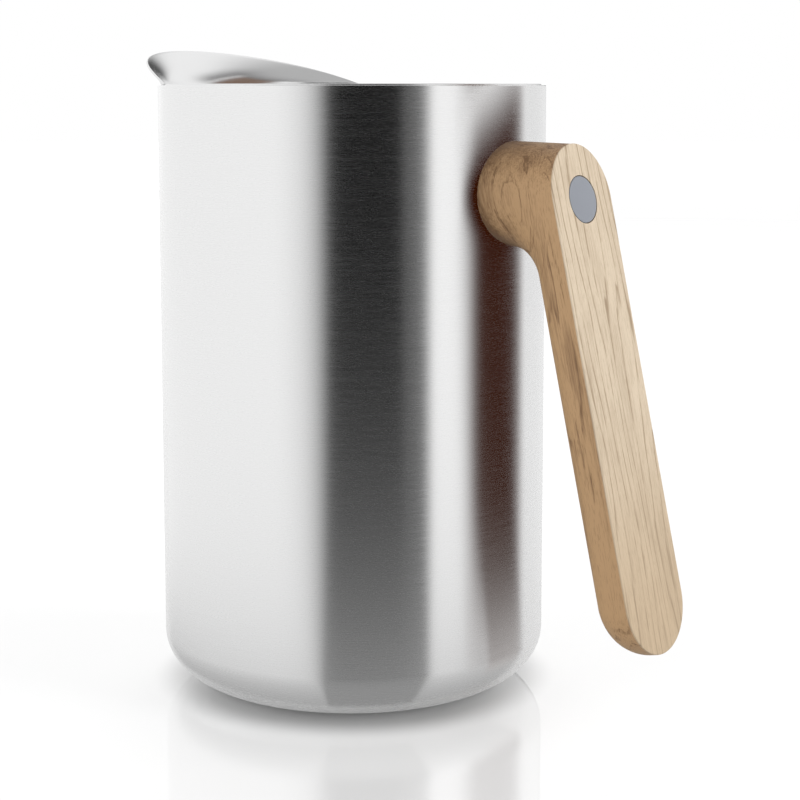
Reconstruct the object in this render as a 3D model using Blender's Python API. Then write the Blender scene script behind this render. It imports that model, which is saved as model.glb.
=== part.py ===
"""Insulated steel jug with an oak handle, modelled as the pieces it comes apart into.

The jug stands on the table at the origin with +Z up. The spout points along -X and the handle
along +X. Lengths below are in millimetres and are turned into metres when a mesh is made.
"""

import math

import bmesh
import bpy
from mathutils import Matrix, Vector

MM = 0.001
GAP = 0.3

# Double wall body
BODY_RADIUS = 60.0
RIM_HEIGHT = 187.0
SHEET = 0.7
BASE_LIFT = 1.0
CORNER_WIDTH = 19.0
CORNER_HEIGHT = 15.5
BASE_OPENING = 38.3

# Inner flask
FLASK_RADIUS = 55.2
FLASK_FLOOR = 9.0
FLASK_CORNER = 14.0
FLASK_SEAM = 32.0
SHOULDER_LOW = 146.0
SHOULDER_HIGH = 158.0
NECK_RADIUS = 47.8
NECK_TOP = 172.0

# Pouring collar and its lip
SKIRT_RADIUS = 46.0
SKIRT_FOOT = 150.0
SEAT_HEIGHT = 175.0
TROUGH_START = 49.8
COLLAR_RADIUS = 58.2
LIP_HALF_ANGLE = math.radians(54.3)
LIP_REACH = 13.1
LIP_BEND_RISE = 4.0
LIP_RISE = 11.6
LIP_PLAN_POWER = 1.2
LIP_RISE_POWER = 0.9

# Stopper and its flap
DECK_HEIGHT = 178.3
FLANGE_RADIUS = 49.2
BARREL_RADIUS = 44.0
POUR_HOLE = 24.0
SEAL_HEIGHTS = (157.0, 167.0)
SEAL_TALL = 3.0
SEAL_GROOVE = 42.4
CAVITY_OUTER = 40.5
CAVITY_INNER = 26.0
CAVITY_ROOF = 173.3
FLAP_RADIUS = 33.0
FLAP_UNDERSIDE = 179.0
FLAP_TOP = 182.4
HINGE_X = 37.0
HINGE_Z = 182.0
PIN_RADIUS = 1.5
KNUCKLE_RADIUS = 3.2
KNUCKLE_HALF = 6.6
LUG_INNER = 7.0
LUG_OUTER = 12.0

# Oak handle: a flat bar leaning outwards, with a round arm at its top
HANDLE_HALF_WIDTH = 15.0
HANDLE_LEAN = math.radians(12.8)
HANDLE_FACE_X = 85.3
HANDLE_EYE_Z = 154.8
HANDLE_LENGTH = 115.3
TOP_STRETCH = 1.08
BAR_THICKNESS = 12.3
BACK_ROUNDING = 6.5
FOOT_ROUNDING = 3.5
FRONT_BREAK = 0.35
ARM_Z = 155.8
ARM_RADIUS = 15.1
ARM_SAG = 0.5
ARM_FILLET = 17.0
ARM_END_ROUNDING = 1.0
CAP_RADIUS = 6.7
CAP_THICKNESS = 1.7
CAP_RECESS = 2.0
STUD_FOOT_RADIUS = 9.0
STUD_FOOT_END = 62.5
STUD_END = 71.0
STUD_HEX = 6.0
SCREW_RADIUS = 3.0
SCREW_HEAD_RADIUS = 5.0
SCREW_TIP = 63.0
WASHER_SEAT = 74.5
WASHER_THICKNESS = 1.2
COUNTERBORE = 6.4

# Facets around a turn
SHELL_STEPS = 60
INNER_STEPS = 32
SMALL_STEPS = 24
LIP_STEPS = 22
COLLAR_STEPS = 28


def clear_scene():
    """Removes what the scene holds, so that the file can be run again."""
    for thing in list(bpy.data.objects):
        bpy.data.objects.remove(thing)


def material(name, colour, roughness, metallic=0.0):
    """A Principled material, made once for each name."""
    found = bpy.data.materials.get(name)
    if found:
        return found
    made = bpy.data.materials.new(name)
    made.use_nodes = True
    shader = made.node_tree.nodes["Principled BSDF"]
    shader.inputs["Base Color"].default_value = (*colour, 1.0)
    shader.inputs["Roughness"].default_value = roughness
    shader.inputs["Metallic"].default_value = metallic
    made.diffuse_color = (*colour, 1.0)
    return made


def brushed_steel():
    return material("brushed_steel", (0.62, 0.62, 0.61), 0.32, 1.0)


def satin_steel():
    return material("satin_steel", (0.66, 0.66, 0.66), 0.22, 1.0)


def bright_steel():
    return material("bright_steel", (0.58, 0.58, 0.57), 0.28, 1.0)


def grey_cap():
    return material("grey_cap", (0.37, 0.39, 0.42), 0.35, 0.8)


def oak():
    return material("oak", (0.62, 0.45, 0.28), 0.55)


def black_plastic():
    return material("black_plastic", (0.025, 0.025, 0.027), 0.45)


def silicone():
    return material("silicone", (0.05, 0.05, 0.055), 0.7)


def foam():
    return material("foam", (0.78, 0.74, 0.62), 0.9)


def finish_mesh(bm, name, look):
    """Turns a bmesh in millimetres into a smooth shaded object in metres."""
    bmesh.ops.remove_doubles(bm, verts=bm.verts, dist=0.0001)
    bmesh.ops.recalc_face_normals(bm, faces=bm.faces)
    bm.transform(Matrix.Scale(MM, 4))
    mesh = bpy.data.meshes.new(name)
    bm.to_mesh(mesh)
    bm.free()
    mesh.shade_smooth()
    mesh.set_sharp_from_angle(angle=math.radians(35))
    mesh.materials.append(look)
    made = bpy.data.objects.new(name, mesh)
    bpy.context.scene.collection.objects.link(made)
    return made


def turned(name, outline, look, steps=INNER_STEPS):
    """Spins an outline of (radius, height) points about Z. Both ends on the axis close a disc."""
    bm = bmesh.new()
    verts = [bm.verts.new((radius, 0.0, height)) for radius, height in outline]
    pairs = list(zip(verts, verts[1:]))
    if outline[0][0] > 0.0:
        pairs.append((verts[-1], verts[0]))
    edges = [bm.edges.new(pair) for pair in pairs]
    bmesh.ops.spin(bm, geom=verts + edges, cent=(0, 0, 0), axis=(0, 0, 1),
                   angle=2 * math.pi, steps=steps, use_merge=True)
    return finish_mesh(bm, name, look)


def lofted(name, loops, look, ring):
    """Skins closed loops that all have as many points. A ring joins the last loop to the first."""
    bm = bmesh.new()
    rows = [[bm.verts.new(point) for point in loop] for loop in loops]
    following = rows[1:] + rows[:1] if ring else rows[1:]
    for row, after in zip(rows, following):
        for k in range(len(row)):
            n = (k + 1) % len(row)
            bm.faces.new((row[k], row[n], after[n], after[k]))
    if not ring:
        bm.faces.new(rows[0])
        bm.faces.new(reversed(rows[-1]))
    bmesh.ops.dissolve_degenerate(bm, dist=0.0001, edges=bm.edges)
    return finish_mesh(bm, name, look)


def extruded(name, outline, low_y, high_y, look):
    """A plate with an (x, z) outline between two heights along Y."""
    bm = bmesh.new()
    face = bm.faces.new([bm.verts.new((x, low_y, z)) for x, z in outline])
    grown = bmesh.ops.extrude_face_region(bm, geom=[face])
    moved = [item for item in grown["geom"] if isinstance(item, bmesh.types.BMVert)]
    bmesh.ops.translate(bm, verts=moved, vec=(0, high_y - low_y, 0))
    return finish_mesh(bm, name, look)


def rod(name, radius, start, end, look, steps=SMALL_STEPS):
    """A cylinder, or a prism when it has few steps, between two points in millimetres."""
    start, end = Vector(start), Vector(end)
    bm = bmesh.new()
    bmesh.ops.create_cone(bm, cap_ends=True, segments=steps, radius1=radius, radius2=radius,
                          depth=(end - start).length)
    turn = (end - start).to_track_quat("Z", "Y").to_matrix().to_4x4()
    bm.transform(Matrix.Translation((start + end) / 2) @ turn)
    return finish_mesh(bm, name, look)


def combine(target, tool, operation):
    """Adds a Boolean to the target and turns the tool into a hidden guide."""
    cut = target.modifiers.new(tool.name, "BOOLEAN")
    cut.operation = operation
    cut.solver = "EXACT"
    cut.object = tool
    tool.hide_render = True
    tool.display_type = "WIRE"


def arc(centre, radii, start, end, steps):
    """Points on an elliptic arc of (radius, height), angles in degrees from +radius."""
    angles = [math.radians(start + (end - start) * k / steps) for k in range(steps + 1)]
    return [(centre[0] + radii[0] * math.cos(a), centre[1] + radii[1] * math.sin(a)) for a in angles]


def ease(low, high, start, end, steps):
    """Points that swing smoothly from one radius to another between two heights."""
    points = []
    for k in range(steps + 1):
        share = k / steps
        swing = (1 - math.cos(math.pi * share)) / 2
        points.append((start + (end - start) * swing, low + (high - low) * share))
    return points


def outer_shell():
    """The brushed outer wall, open at the rim and at the middle of its base."""
    centre = (BODY_RADIUS - CORNER_WIDTH, BASE_LIFT + CORNER_HEIGHT)
    outside = arc(centre, (CORNER_WIDTH, CORNER_HEIGHT), 0, -90, 6)
    inside = arc(centre, (CORNER_WIDTH - SHEET, CORNER_HEIGHT - SHEET), -90, 0, 6)
    outline = [(BODY_RADIUS, RIM_HEIGHT), *outside, (BASE_OPENING, BASE_LIFT),
               (BASE_OPENING, BASE_LIFT + SHEET), *inside, (BODY_RADIUS - SHEET, RIM_HEIGHT)]
    return turned("outer_shell", outline, brushed_steel(), SHELL_STEPS)


def base_plate():
    """The welded base disc: a step that holds the pad and a dimple with the vacuum port."""
    rim = BASE_OPENING - GAP
    step = rim - 2.7
    low, high = BASE_LIFT, BASE_LIFT + 1.0
    thick = 0.8
    outline = [(rim, low), (step, low), (step, high), (6.5, high), (5.0, high + 1.5), (1.6, high + 1.5),
               (1.6, high + 1.5 + thick), (5.4, high + 1.5 + thick), (6.9, high + thick),
               (step + thick, high + thick), (step + thick, low + thick), (rim, low + thick)]
    return turned("base_plate", outline, bright_steel())


def vacuum_plug():
    """The bead that seals the port in the dimple after the air is drawn out."""
    outline = [(0.0, 2.3), (4.0, 2.3), (4.4, 2.7), (4.1, 3.2), (1.3, 3.2), (1.3, 4.1), (0.0, 4.1)]
    return turned("vacuum_plug", outline, bright_steel(), SMALL_STEPS)


def base_pad():
    """The silicone pad that the jug stands on, with a grip groove."""
    radius = BASE_OPENING - GAP - 2.7 - GAP
    groove = 22.0
    outline = [(0.0, 0.0), (groove, 0.0), (groove + 0.4, 0.4), (groove + 1.6, 0.4), (groove + 2.0, 0.0),
               (radius - 0.8, 0.0), (radius, 0.6), (radius, 1.7), (0.0, 1.7)]
    return turned("base_pad", outline, silicone())


def inner_flask():
    """The inner wall that holds the drink: a tube drawn in to a neck and open at its foot."""
    shoulder = ease(SHOULDER_LOW, SHOULDER_HIGH, FLASK_RADIUS, NECK_RADIUS, 4)
    back = [(radius - SHEET, height) for radius, height in reversed(shoulder)]
    outline = [(FLASK_RADIUS, FLASK_SEAM), *shoulder, (NECK_RADIUS, NECK_TOP),
               (NECK_RADIUS - SHEET, NECK_TOP), *back, (FLASK_RADIUS - SHEET, FLASK_SEAM)]
    return turned("inner_flask", outline, bright_steel())


def flask_base():
    """The drawn dish that is welded under the inner wall as the flask's floor."""
    centre = (FLASK_RADIUS - FLASK_CORNER, FLASK_FLOOR + FLASK_CORNER)
    inner = FLASK_CORNER - SHEET
    top = FLASK_SEAM - GAP
    outside = arc(centre, (FLASK_CORNER, FLASK_CORNER), -90, 0, 5)
    inside = arc(centre, (inner, inner), 0, -90, 5)
    outline = [(0.0, FLASK_FLOOR), *outside, (FLASK_RADIUS, top),
               (FLASK_RADIUS - SHEET, top), *inside, (0.0, FLASK_FLOOR + SHEET)]
    return turned("flask_base", outline, bright_steel())


def getter():
    """The pellet under the flask that keeps the vacuum clean."""
    top = FLASK_FLOOR - GAP
    outline = [(0.0, top - 2.5), (3.9, top - 2.5), (4.5, top - 1.9), (4.5, top), (0.0, top)]
    return turned("getter", outline, bright_steel(), SMALL_STEPS)


def lip_share(angle):
    """How far the lip has risen at an angle from the spout: 1 at its tip, 0 past its ends."""
    if abs(angle) >= LIP_HALF_ANGLE:
        return 0.0
    return math.cos(math.pi * angle / (2 * LIP_HALF_ANGLE))


def collar_midline(angle):
    """The middle of the collar's sheet at an angle from the spout: skirt, seat, trough and lip."""
    half = SHEET / 2
    share = lip_share(angle)
    seat = SEAT_HEIGHT - half
    trough_top = RIM_HEIGHT - 2.4
    line = [(SKIRT_RADIUS + half, SKIRT_FOOT)]
    line += arc((SKIRT_RADIUS + half + 1.2, seat - 1.2), (1.2, 1.2), 180, 90, 2)
    line += arc((TROUGH_START, trough_top), (COLLAR_RADIUS - TROUGH_START, trough_top - seat), -90, 0, 4)
    edge = (COLLAR_RADIUS + LIP_REACH * share ** LIP_PLAN_POWER,
            RIM_HEIGHT - GAP + LIP_RISE * share ** LIP_RISE_POWER)
    bend = (COLLAR_RADIUS, RIM_HEIGHT - GAP / 2 + LIP_BEND_RISE * share)
    for k in range(1, 5):
        t = k / 4
        weights = ((1 - t) ** 2, 2 * t * (1 - t), t ** 2)
        corners = ((COLLAR_RADIUS, trough_top), bend, edge)
        line.append(tuple(sum(w * c[i] for w, c in zip(weights, corners)) for i in (0, 1)))
    return line


def sheet_outline(line, thickness):
    """A closed outline around a midline, half the thickness to each side."""
    left, right = [], []
    for k, point in enumerate(line):
        before = Vector(line[max(k - 1, 0)])
        after = Vector(line[min(k + 1, len(line) - 1)])
        along = (after - before).normalized()
        side = Vector((-along.y, along.x)) * thickness / 2
        left.append(tuple(Vector(point) + side))
        right.append(tuple(Vector(point) - side))
    return left + right[::-1]


def pour_collar():
    """The drawn steel ring that joins the walls, seats the stopper and rises into the pouring lip."""
    lip = LIP_HALF_ANGLE
    rest = math.pi - lip
    angles = [lip * (2 * k / LIP_STEPS - 1) for k in range(LIP_STEPS)]
    angles += [lip + rest * 2 * k / COLLAR_STEPS for k in range(COLLAR_STEPS)]
    loops = []
    for angle in angles:
        outline = sheet_outline(collar_midline(angle), SHEET)
        loops.append([(-r * math.cos(angle), -r * math.sin(angle), z) for r, z in outline])
    return lofted("pour_collar", loops, satin_steel(), ring=True)


def bar_point(along, inwards):
    """(x, z) of a point on the handle: along its face from the eye, and inwards from the face."""
    x = HANDLE_FACE_X + along * math.sin(HANDLE_LEAN) - inwards * math.cos(HANDLE_LEAN)
    z = HANDLE_EYE_Z - along * math.cos(HANDLE_LEAN) - inwards * math.sin(HANDLE_LEAN)
    return x, z


def bar_depth(inset, rounding=BACK_ROUNDING):
    """The bar's thickness at a distance in from its outline, with the back edge rounded over."""
    short = max(rounding - inset, 0.0)
    return BAR_THICKNESS - rounding + math.sqrt(rounding ** 2 - short ** 2)


def arm_fillet(arm_z, depth, steps):
    """(x, z) points of the hollow curve from the bar's back up to the arm's underside."""
    on_back = Vector(bar_point(0.0, depth))
    down = Vector((math.sin(HANDLE_LEAN), -math.cos(HANDLE_LEAN)))
    corner = on_back + down * ((on_back.y - arm_z) / math.cos(HANDLE_LEAN))
    opening = math.pi / 2 + HANDLE_LEAN
    reach = ARM_FILLET / math.tan(opening / 2)
    centre = corner + down * reach + Vector((-math.cos(HANDLE_LEAN), -math.sin(HANDLE_LEAN))) * ARM_FILLET
    start, sweep = HANDLE_LEAN, math.pi - opening
    return [(centre.x + ARM_FILLET * math.cos(start + sweep * k / steps),
             centre.y + ARM_FILLET * math.sin(start + sweep * k / steps)) for k in range(steps + 1)]


def arm_end_x(side):
    """Where the arm's saddle end lies, a gap off the round body."""
    return math.sqrt((BODY_RADIUS + GAP) ** 2 - side ** 2)


def handle_section(turn):
    """One closed slice of the handle. The turn runs from -90 to 90 degrees across its width."""
    half = HANDLE_HALF_WIDTH
    across, up = half * math.sin(turn), half * math.cos(turn)
    face_share = (half - FRONT_BREAK) / half
    slice_points = []

    def add(point, share=1.0):
        slice_points.append((point[0], across * share, point[1]))

    add(bar_point(-up * face_share * TOP_STRETCH, 0.0), face_share)
    add(bar_point(HANDLE_LENGTH + up * face_share, 0.0), face_share)
    add(bar_point(HANDLE_LENGTH + up, FRONT_BREAK))
    for k in range(8):
        along = up * math.cos(math.radians(90 * k / 7)) ** 0.6 if k < 7 else 0.0
        inset = half - math.hypot(along, across)
        rounding = BACK_ROUNDING + FOOT_ROUNDING * along / half
        add(bar_point(HANDLE_LENGTH + along, bar_depth(max(inset, 0.0), rounding)))
    reach = ARM_RADIUS * math.cos(turn)
    for point in arm_fillet(ARM_Z - ARM_SAG - reach, bar_depth(half - abs(across)), 6):
        add(point)
    for tilt in (0, 30, 60, 90):
        inset = ARM_END_ROUNDING * (1 - math.cos(math.radians(tilt)))
        share = (half - inset) / half
        back = ARM_END_ROUNDING * (1 - math.sin(math.radians(tilt)))
        x = arm_end_x(across * share) + back
        add((x, ARM_Z - reach * share), share)
    for tilt in (90, 60, 30, 0):
        inset = ARM_END_ROUNDING * (1 - math.cos(math.radians(tilt)))
        share = (half - inset) / half
        back = ARM_END_ROUNDING * (1 - math.sin(math.radians(tilt)))
        x = arm_end_x(across * share) + back
        add((x, ARM_Z + reach * share), share)
    add(bar_point(-up * TOP_STRETCH, FRONT_BREAK))
    return slice_points


def handle():
    """The oak handle, bored for its screw and socketed for the hexagon on the body."""
    steps = 20
    sections = [handle_section(math.radians(-90 + 180 * k / steps)) for k in range(steps + 1)]
    made = lofted("handle", sections, oak(), ring=False)
    eye = HANDLE_EYE_Z
    face = Vector((HANDLE_FACE_X, 0, eye))
    outwards = Vector((math.cos(HANDLE_LEAN), 0, math.sin(HANDLE_LEAN)))
    bores = [
        rod("bore_stud_foot", STUD_FOOT_RADIUS + GAP, (50, 0, eye), (STUD_FOOT_END + GAP, 0, eye), oak()),
        rod("bore_stud_hex", STUD_HEX / math.cos(math.pi / 6) + GAP, (50, 0, eye), (STUD_END + GAP, 0, eye),
            oak(), 6),
        rod("bore_screw", SCREW_RADIUS + GAP, (60, 0, eye), (80, 0, eye), oak()),
        rod("bore_head", COUNTERBORE, (WASHER_SEAT, 0, eye), (83.8, 0, eye), oak()),
        rod("bore_cap", CAP_RADIUS + GAP, face - outwards * CAP_RECESS, face + outwards * 5, oak()),
    ]
    for bore in bores:
        combine(made, bore, "DIFFERENCE")
    return made


def handle_stud():
    """The hexagon welded to the outer wall, which carries the handle and stops it turning."""
    eye = HANDLE_EYE_Z
    made = rod("handle_stud", STUD_FOOT_RADIUS, (55, 0, eye), (STUD_FOOT_END, 0, eye), bright_steel())
    hexagon = rod("stud_hex", STUD_HEX / math.cos(math.pi / 6), (55, 0, eye), (STUD_END, 0, eye),
                  bright_steel(), 6)
    wall = rod("stud_wall", BODY_RADIUS + GAP, (0, 0, eye - 30), (0, 0, eye + 30), bright_steel(), 144)
    thread = rod("stud_thread", SCREW_RADIUS + GAP, (SCREW_TIP - 1, 0, eye), (80, 0, eye), bright_steel())
    combine(made, hexagon, "UNION")
    combine(made, wall, "DIFFERENCE")
    combine(made, thread, "DIFFERENCE")
    return made


def handle_screw():
    """The socket screw that clamps the handle to its stud."""
    eye = HANDLE_EYE_Z
    seat = WASHER_SEAT + GAP + WASHER_THICKNESS + GAP
    made = rod("handle_screw", SCREW_RADIUS, (SCREW_TIP, 0, eye), (seat + 1, 0, eye), bright_steel(), 24)
    head = rod("screw_head", SCREW_HEAD_RADIUS, (seat, 0, eye), (seat + 5, 0, eye), bright_steel(), 24)
    socket = rod("screw_socket", 2.9, (seat + 2.2, 0, eye), (seat + 9, 0, eye), bright_steel(), 6)
    combine(made, head, "UNION")
    combine(made, socket, "DIFFERENCE")
    return made


def handle_washer():
    """The washer under the screw's head."""
    eye = HANDLE_EYE_Z
    start = WASHER_SEAT + GAP
    made = rod("handle_washer", COUNTERBORE - 0.4, (start, 0, eye), (start + WASHER_THICKNESS, 0, eye),
               bright_steel(), 24)
    hole = rod("washer_hole", SCREW_RADIUS + GAP, (start - 2, 0, eye), (start + 4, 0, eye), bright_steel(), 24)
    combine(made, hole, "DIFFERENCE")
    return made


def handle_cap():
    """The grey disc pressed in flush over the screw."""
    eye = Vector((HANDLE_FACE_X, 0, HANDLE_EYE_Z))
    outwards = Vector((math.cos(HANDLE_LEAN), 0, math.sin(HANDLE_LEAN)))
    return rod("handle_cap", CAP_RADIUS, eye - outwards * CAP_THICKNESS, eye, grey_cap(), 40)


def stopper_body():
    """The plug: flange and deck, barrel with two seal grooves, pour hole and hinge lugs."""
    outline = [(POUR_HOLE, SKIRT_FOOT), (POUR_HOLE, DECK_HEIGHT - 0.8), (POUR_HOLE + 0.8, DECK_HEIGHT),
               (FLANGE_RADIUS - 1.0, DECK_HEIGHT), (FLANGE_RADIUS, DECK_HEIGHT - 1.0),
               (FLANGE_RADIUS, SEAT_HEIGHT + GAP), (BARREL_RADIUS, SEAT_HEIGHT + GAP)]
    for height in reversed(SEAL_HEIGHTS):
        outline += [(BARREL_RADIUS, height + SEAL_TALL), (SEAL_GROOVE, height + SEAL_TALL),
                    (SEAL_GROOVE, height), (BARREL_RADIUS, height)]
    outline += [(BARREL_RADIUS, SKIRT_FOOT + 1.0), (BARREL_RADIUS - 1.0, SKIRT_FOOT),
                (CAVITY_OUTER, SKIRT_FOOT), (CAVITY_OUTER, CAVITY_ROOF), (CAVITY_INNER, CAVITY_ROOF),
                (CAVITY_INNER, SKIRT_FOOT)]
    made = turned("stopper_body", outline, black_plastic())
    for side, name in ((-1, "lug_left"), (1, "lug_right")):
        ears = sorted((side * LUG_INNER, side * LUG_OUTER))
        outline = arc((HINGE_X, HINGE_Z), (KNUCKLE_RADIUS, KNUCKLE_RADIUS), 0, 180, 10)
        outline += [(HINGE_X - KNUCKLE_RADIUS, DECK_HEIGHT - 2.0), (HINGE_X + KNUCKLE_RADIUS, DECK_HEIGHT - 2.0)]
        combine(made, extruded(name, outline, *ears, black_plastic()), "UNION")
    bore = rod("lug_bore", PIN_RADIUS + GAP, (HINGE_X, -20, HINGE_Z), (HINGE_X, 20, HINGE_Z), black_plastic(), 20)
    combine(made, bore, "DIFFERENCE")
    return made


def stopper_seal(name, height):
    """A silicone ring with a tapered lip, seated in one groove of the plug."""
    inner = SEAL_GROOVE + GAP
    outer = SKIRT_RADIUS - GAP
    low, high = height + GAP, height + SEAL_TALL - GAP
    root = BARREL_RADIUS - 0.2
    outline = [(inner, low), (root, low), (outer, low + 0.7), (outer, high - 0.7), (root, high), (inner, high)]
    return turned(name, outline, silicone())


def stopper_base():
    """The ring that closes the plug's insulated hollow from below."""
    low, high = SKIRT_FOOT, SKIRT_FOOT + 2.0
    inner, outer = CAVITY_INNER + GAP, CAVITY_OUTER - GAP
    outline = [(inner, low), (outer, low), (outer, high), (inner, high)]
    return turned("stopper_base", outline, black_plastic())


def stopper_insulation():
    """The foam ring inside the plug."""
    low, high = SKIRT_FOOT + 2.0 + GAP, CAVITY_ROOF - GAP
    inner, outer = CAVITY_INNER + GAP, CAVITY_OUTER - GAP
    outline = [(inner, low), (outer, low), (outer, high), (inner, high)]
    return turned("stopper_insulation", outline, foam())


def flap():
    """The pouring flap: a lid over the hole with a shallow plug, a seal groove and its knuckle."""
    outline = [(0.0, 170.0), (20.2, 170.0), (21.0, 170.8), (22.8, FLAP_UNDERSIDE), (26.3, FLAP_UNDERSIDE),
               (26.3, 180.6), (30.7, 180.6), (30.7, FLAP_UNDERSIDE), (FLAP_RADIUS - 0.6, FLAP_UNDERSIDE),
               (FLAP_RADIUS, FLAP_UNDERSIDE + 0.6), (FLAP_RADIUS, FLAP_TOP - 0.8),
               (FLAP_RADIUS - 0.8, FLAP_TOP), (31.4, FLAP_TOP), (31.4, FLAP_TOP - 1.1), (0.0, FLAP_TOP - 1.1)]
    made = turned("flap", outline, black_plastic())
    tongue = [(HINGE_X, HINGE_Z - KNUCKLE_RADIUS), (HINGE_X, HINGE_Z + 0.2), (FLAP_RADIUS - 1.4, FLAP_TOP - 0.2),
              (FLAP_RADIUS - 1.4, FLAP_UNDERSIDE + 0.2)]
    half = KNUCKLE_HALF
    combine(made, extruded("flap_tongue", tongue, -half, half, black_plastic()), "UNION")
    knuckle = rod("flap_knuckle", KNUCKLE_RADIUS, (HINGE_X, -half, HINGE_Z), (HINGE_X, half, HINGE_Z),
                  black_plastic(), 24)
    combine(made, knuckle, "UNION")
    bore = rod("flap_bore", PIN_RADIUS + GAP, (HINGE_X, -20, HINGE_Z), (HINGE_X, 20, HINGE_Z), black_plastic(), 20)
    combine(made, bore, "DIFFERENCE")
    return made


def flap_cover():
    """The domed steel disc set into the flap's top."""
    low = FLAP_TOP - 1.1 + GAP
    outline = [(0.0, low), (31.0, low), (31.0, low + 0.7), (30.4, low + 1.0), (20.0, low + 1.5),
               (10.0, low + 1.8), (0.0, low + 1.9)]
    return turned("flap_cover", outline, satin_steel())


def flap_gasket():
    """The silicone ring that the flap closes on."""
    low = DECK_HEIGHT + GAP
    outline = [(26.6, 180.3), (26.6, low + 0.3), (27.6, low), (29.4, low), (30.4, low + 0.3), (30.4, 180.3)]
    return turned("flap_gasket", outline, silicone())


def flap_pin():
    """The steel pin through the flap's knuckle and the plug's lugs."""
    ends = LUG_OUTER - 0.4
    return rod("flap_pin", PIN_RADIUS, (HINGE_X, -ends, HINGE_Z), (HINGE_X, ends, HINGE_Z), bright_steel(), 20)


def joint_frame(name, place, children):
    """An empty on a joint's axis that carries the pieces which move about it."""
    frame = bpy.data.objects.new(name, None)
    bpy.context.scene.collection.objects.link(frame)
    frame.location = Vector(place) * MM
    bpy.context.view_layer.update()
    for child in children:
        child.parent = frame
        child.matrix_parent_inverse = frame.matrix_world.inverted()
    return frame


def main():
    clear_scene()
    outer_shell()
    base_plate()
    vacuum_plug()
    base_pad()
    inner_flask()
    flask_base()
    getter()
    pour_collar()
    handle_stud()
    handle()
    handle_washer()
    handle_screw()
    handle_cap()
    plug = [stopper_body(), stopper_base(), stopper_insulation(), flap_pin()]
    plug += [stopper_seal(name, height) for name, height in zip(("lower_seal", "upper_seal"), SEAL_HEIGHTS)]
    lid = [flap(), flap_cover(), flap_gasket()]
    lift = joint_frame("stopper_lift", (0, 0, SEAT_HEIGHT), plug)
    tilt = joint_frame("flap_hinge", (HINGE_X, 0, HINGE_Z), lid)
    tilt.parent = lift
    tilt.matrix_parent_inverse = lift.matrix_world.inverted()


main()
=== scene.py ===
"""Dresses the insulated jug: fine meshes, procedural finishes and a plain studio around the frame.

The jug stands at the origin with +Z up, its lip towards -X and its oak handle towards +X. The sizes in
the classes below are in millimetres, and they become metres when a mesh is made.
"""

import logging
import math
from dataclasses import dataclass
from enum import Enum
from typing import Any, Callable, Optional, Sequence, Union

import bmesh
import bpy
from mathutils import Matrix, Vector


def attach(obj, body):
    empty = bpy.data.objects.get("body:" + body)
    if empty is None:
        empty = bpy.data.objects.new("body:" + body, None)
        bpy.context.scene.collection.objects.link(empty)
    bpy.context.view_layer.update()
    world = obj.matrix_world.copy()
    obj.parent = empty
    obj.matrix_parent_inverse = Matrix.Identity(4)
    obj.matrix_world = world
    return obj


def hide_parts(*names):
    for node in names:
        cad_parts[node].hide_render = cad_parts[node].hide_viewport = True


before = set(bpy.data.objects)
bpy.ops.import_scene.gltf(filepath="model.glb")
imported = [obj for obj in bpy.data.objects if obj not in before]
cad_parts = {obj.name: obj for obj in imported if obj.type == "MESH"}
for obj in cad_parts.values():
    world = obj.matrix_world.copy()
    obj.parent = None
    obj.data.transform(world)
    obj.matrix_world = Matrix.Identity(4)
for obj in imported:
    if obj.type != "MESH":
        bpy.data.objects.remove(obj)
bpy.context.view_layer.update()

MM = 0.001
# Degrees from which an edge shows as a crease
CREASE = 32.0
# Points nearer than this become one
MERGE = 0.0005
# The room between neighbours, and the thickness of the steel
GAP = 0.3
SHEET = 0.7
# Sizes that sub-assemblies share
BODY_RADIUS = 60.0
RIM = 187.0
LIFT = 1.0
BASE_OPENING = 38.3
SKIRT_FOOT = 150.0
SEAT = 175.0
DECK = 178.3
FACE_X = 85.3
EYE_Z = 154.8
ARM_Z = 155.8
LEAN = math.radians(12.8)

Point = tuple[float, float]
Point3 = tuple[float, float, float]
Corner = tuple[float, float, float]
Outline = list[Point]
Colour = tuple[float, float, float]
Number = Union[float, "Value"]
Loop = list[bmesh.types.BMVert]

log = logging.getLogger("jug")


class Body(Enum):
    """The bodies of the frame that pieces ride on."""

    JUG = "jug"
    STOPPER = "stopper"
    LID = "lid"


class Slot(Enum):
    """The record's material slots."""

    BRUSHED = "brushed_steel"
    SATIN = "satin_steel"
    BRIGHT = "bright_steel"
    CAP = "grey_cap"
    OAK = "oak"
    PLASTIC = "black_plastic"
    SILICONE = "silicone"
    FOAM = "foam"


# Shader maths

def operator(operation: str, reflected: bool = False) -> Callable[["Value", Number], "Value"]:
    """An operator of Value that adds one Math node.

    Args:
        operation: The Math node's operation.
        reflected: True puts the other side first.

    Returns:
        The operator's method.
    """
    def method(self: "Value", other: Number) -> "Value":
        """Adds the Math node."""
        return self.nodes.math(operation, *((other, self) if reflected else (self, other)))
    return method


class Value:
    """A number or vector in a shader, so that shader maths reads as Python."""

    __add__, __radd__ = operator("ADD"), operator("ADD", True)
    __sub__, __rsub__ = operator("SUBTRACT"), operator("SUBTRACT", True)
    __mul__, __rmul__ = operator("MULTIPLY"), operator("MULTIPLY", True)
    __truediv__, __rtruediv__ = operator("DIVIDE"), operator("DIVIDE", True)

    def __init__(self, nodes: "Nodes", socket: bpy.types.NodeSocket) -> None:
        """Keeps the socket and the tree that it belongs to."""
        self.nodes = nodes
        self.socket = socket

    def root(self) -> "Value":
        """The square root."""
        return self.nodes.math("POWER", self, 0.5)

    def fraction(self) -> "Value":
        """What is left over from the whole number below."""
        return self.nodes.math("FRACT", self, 0.0)


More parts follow.
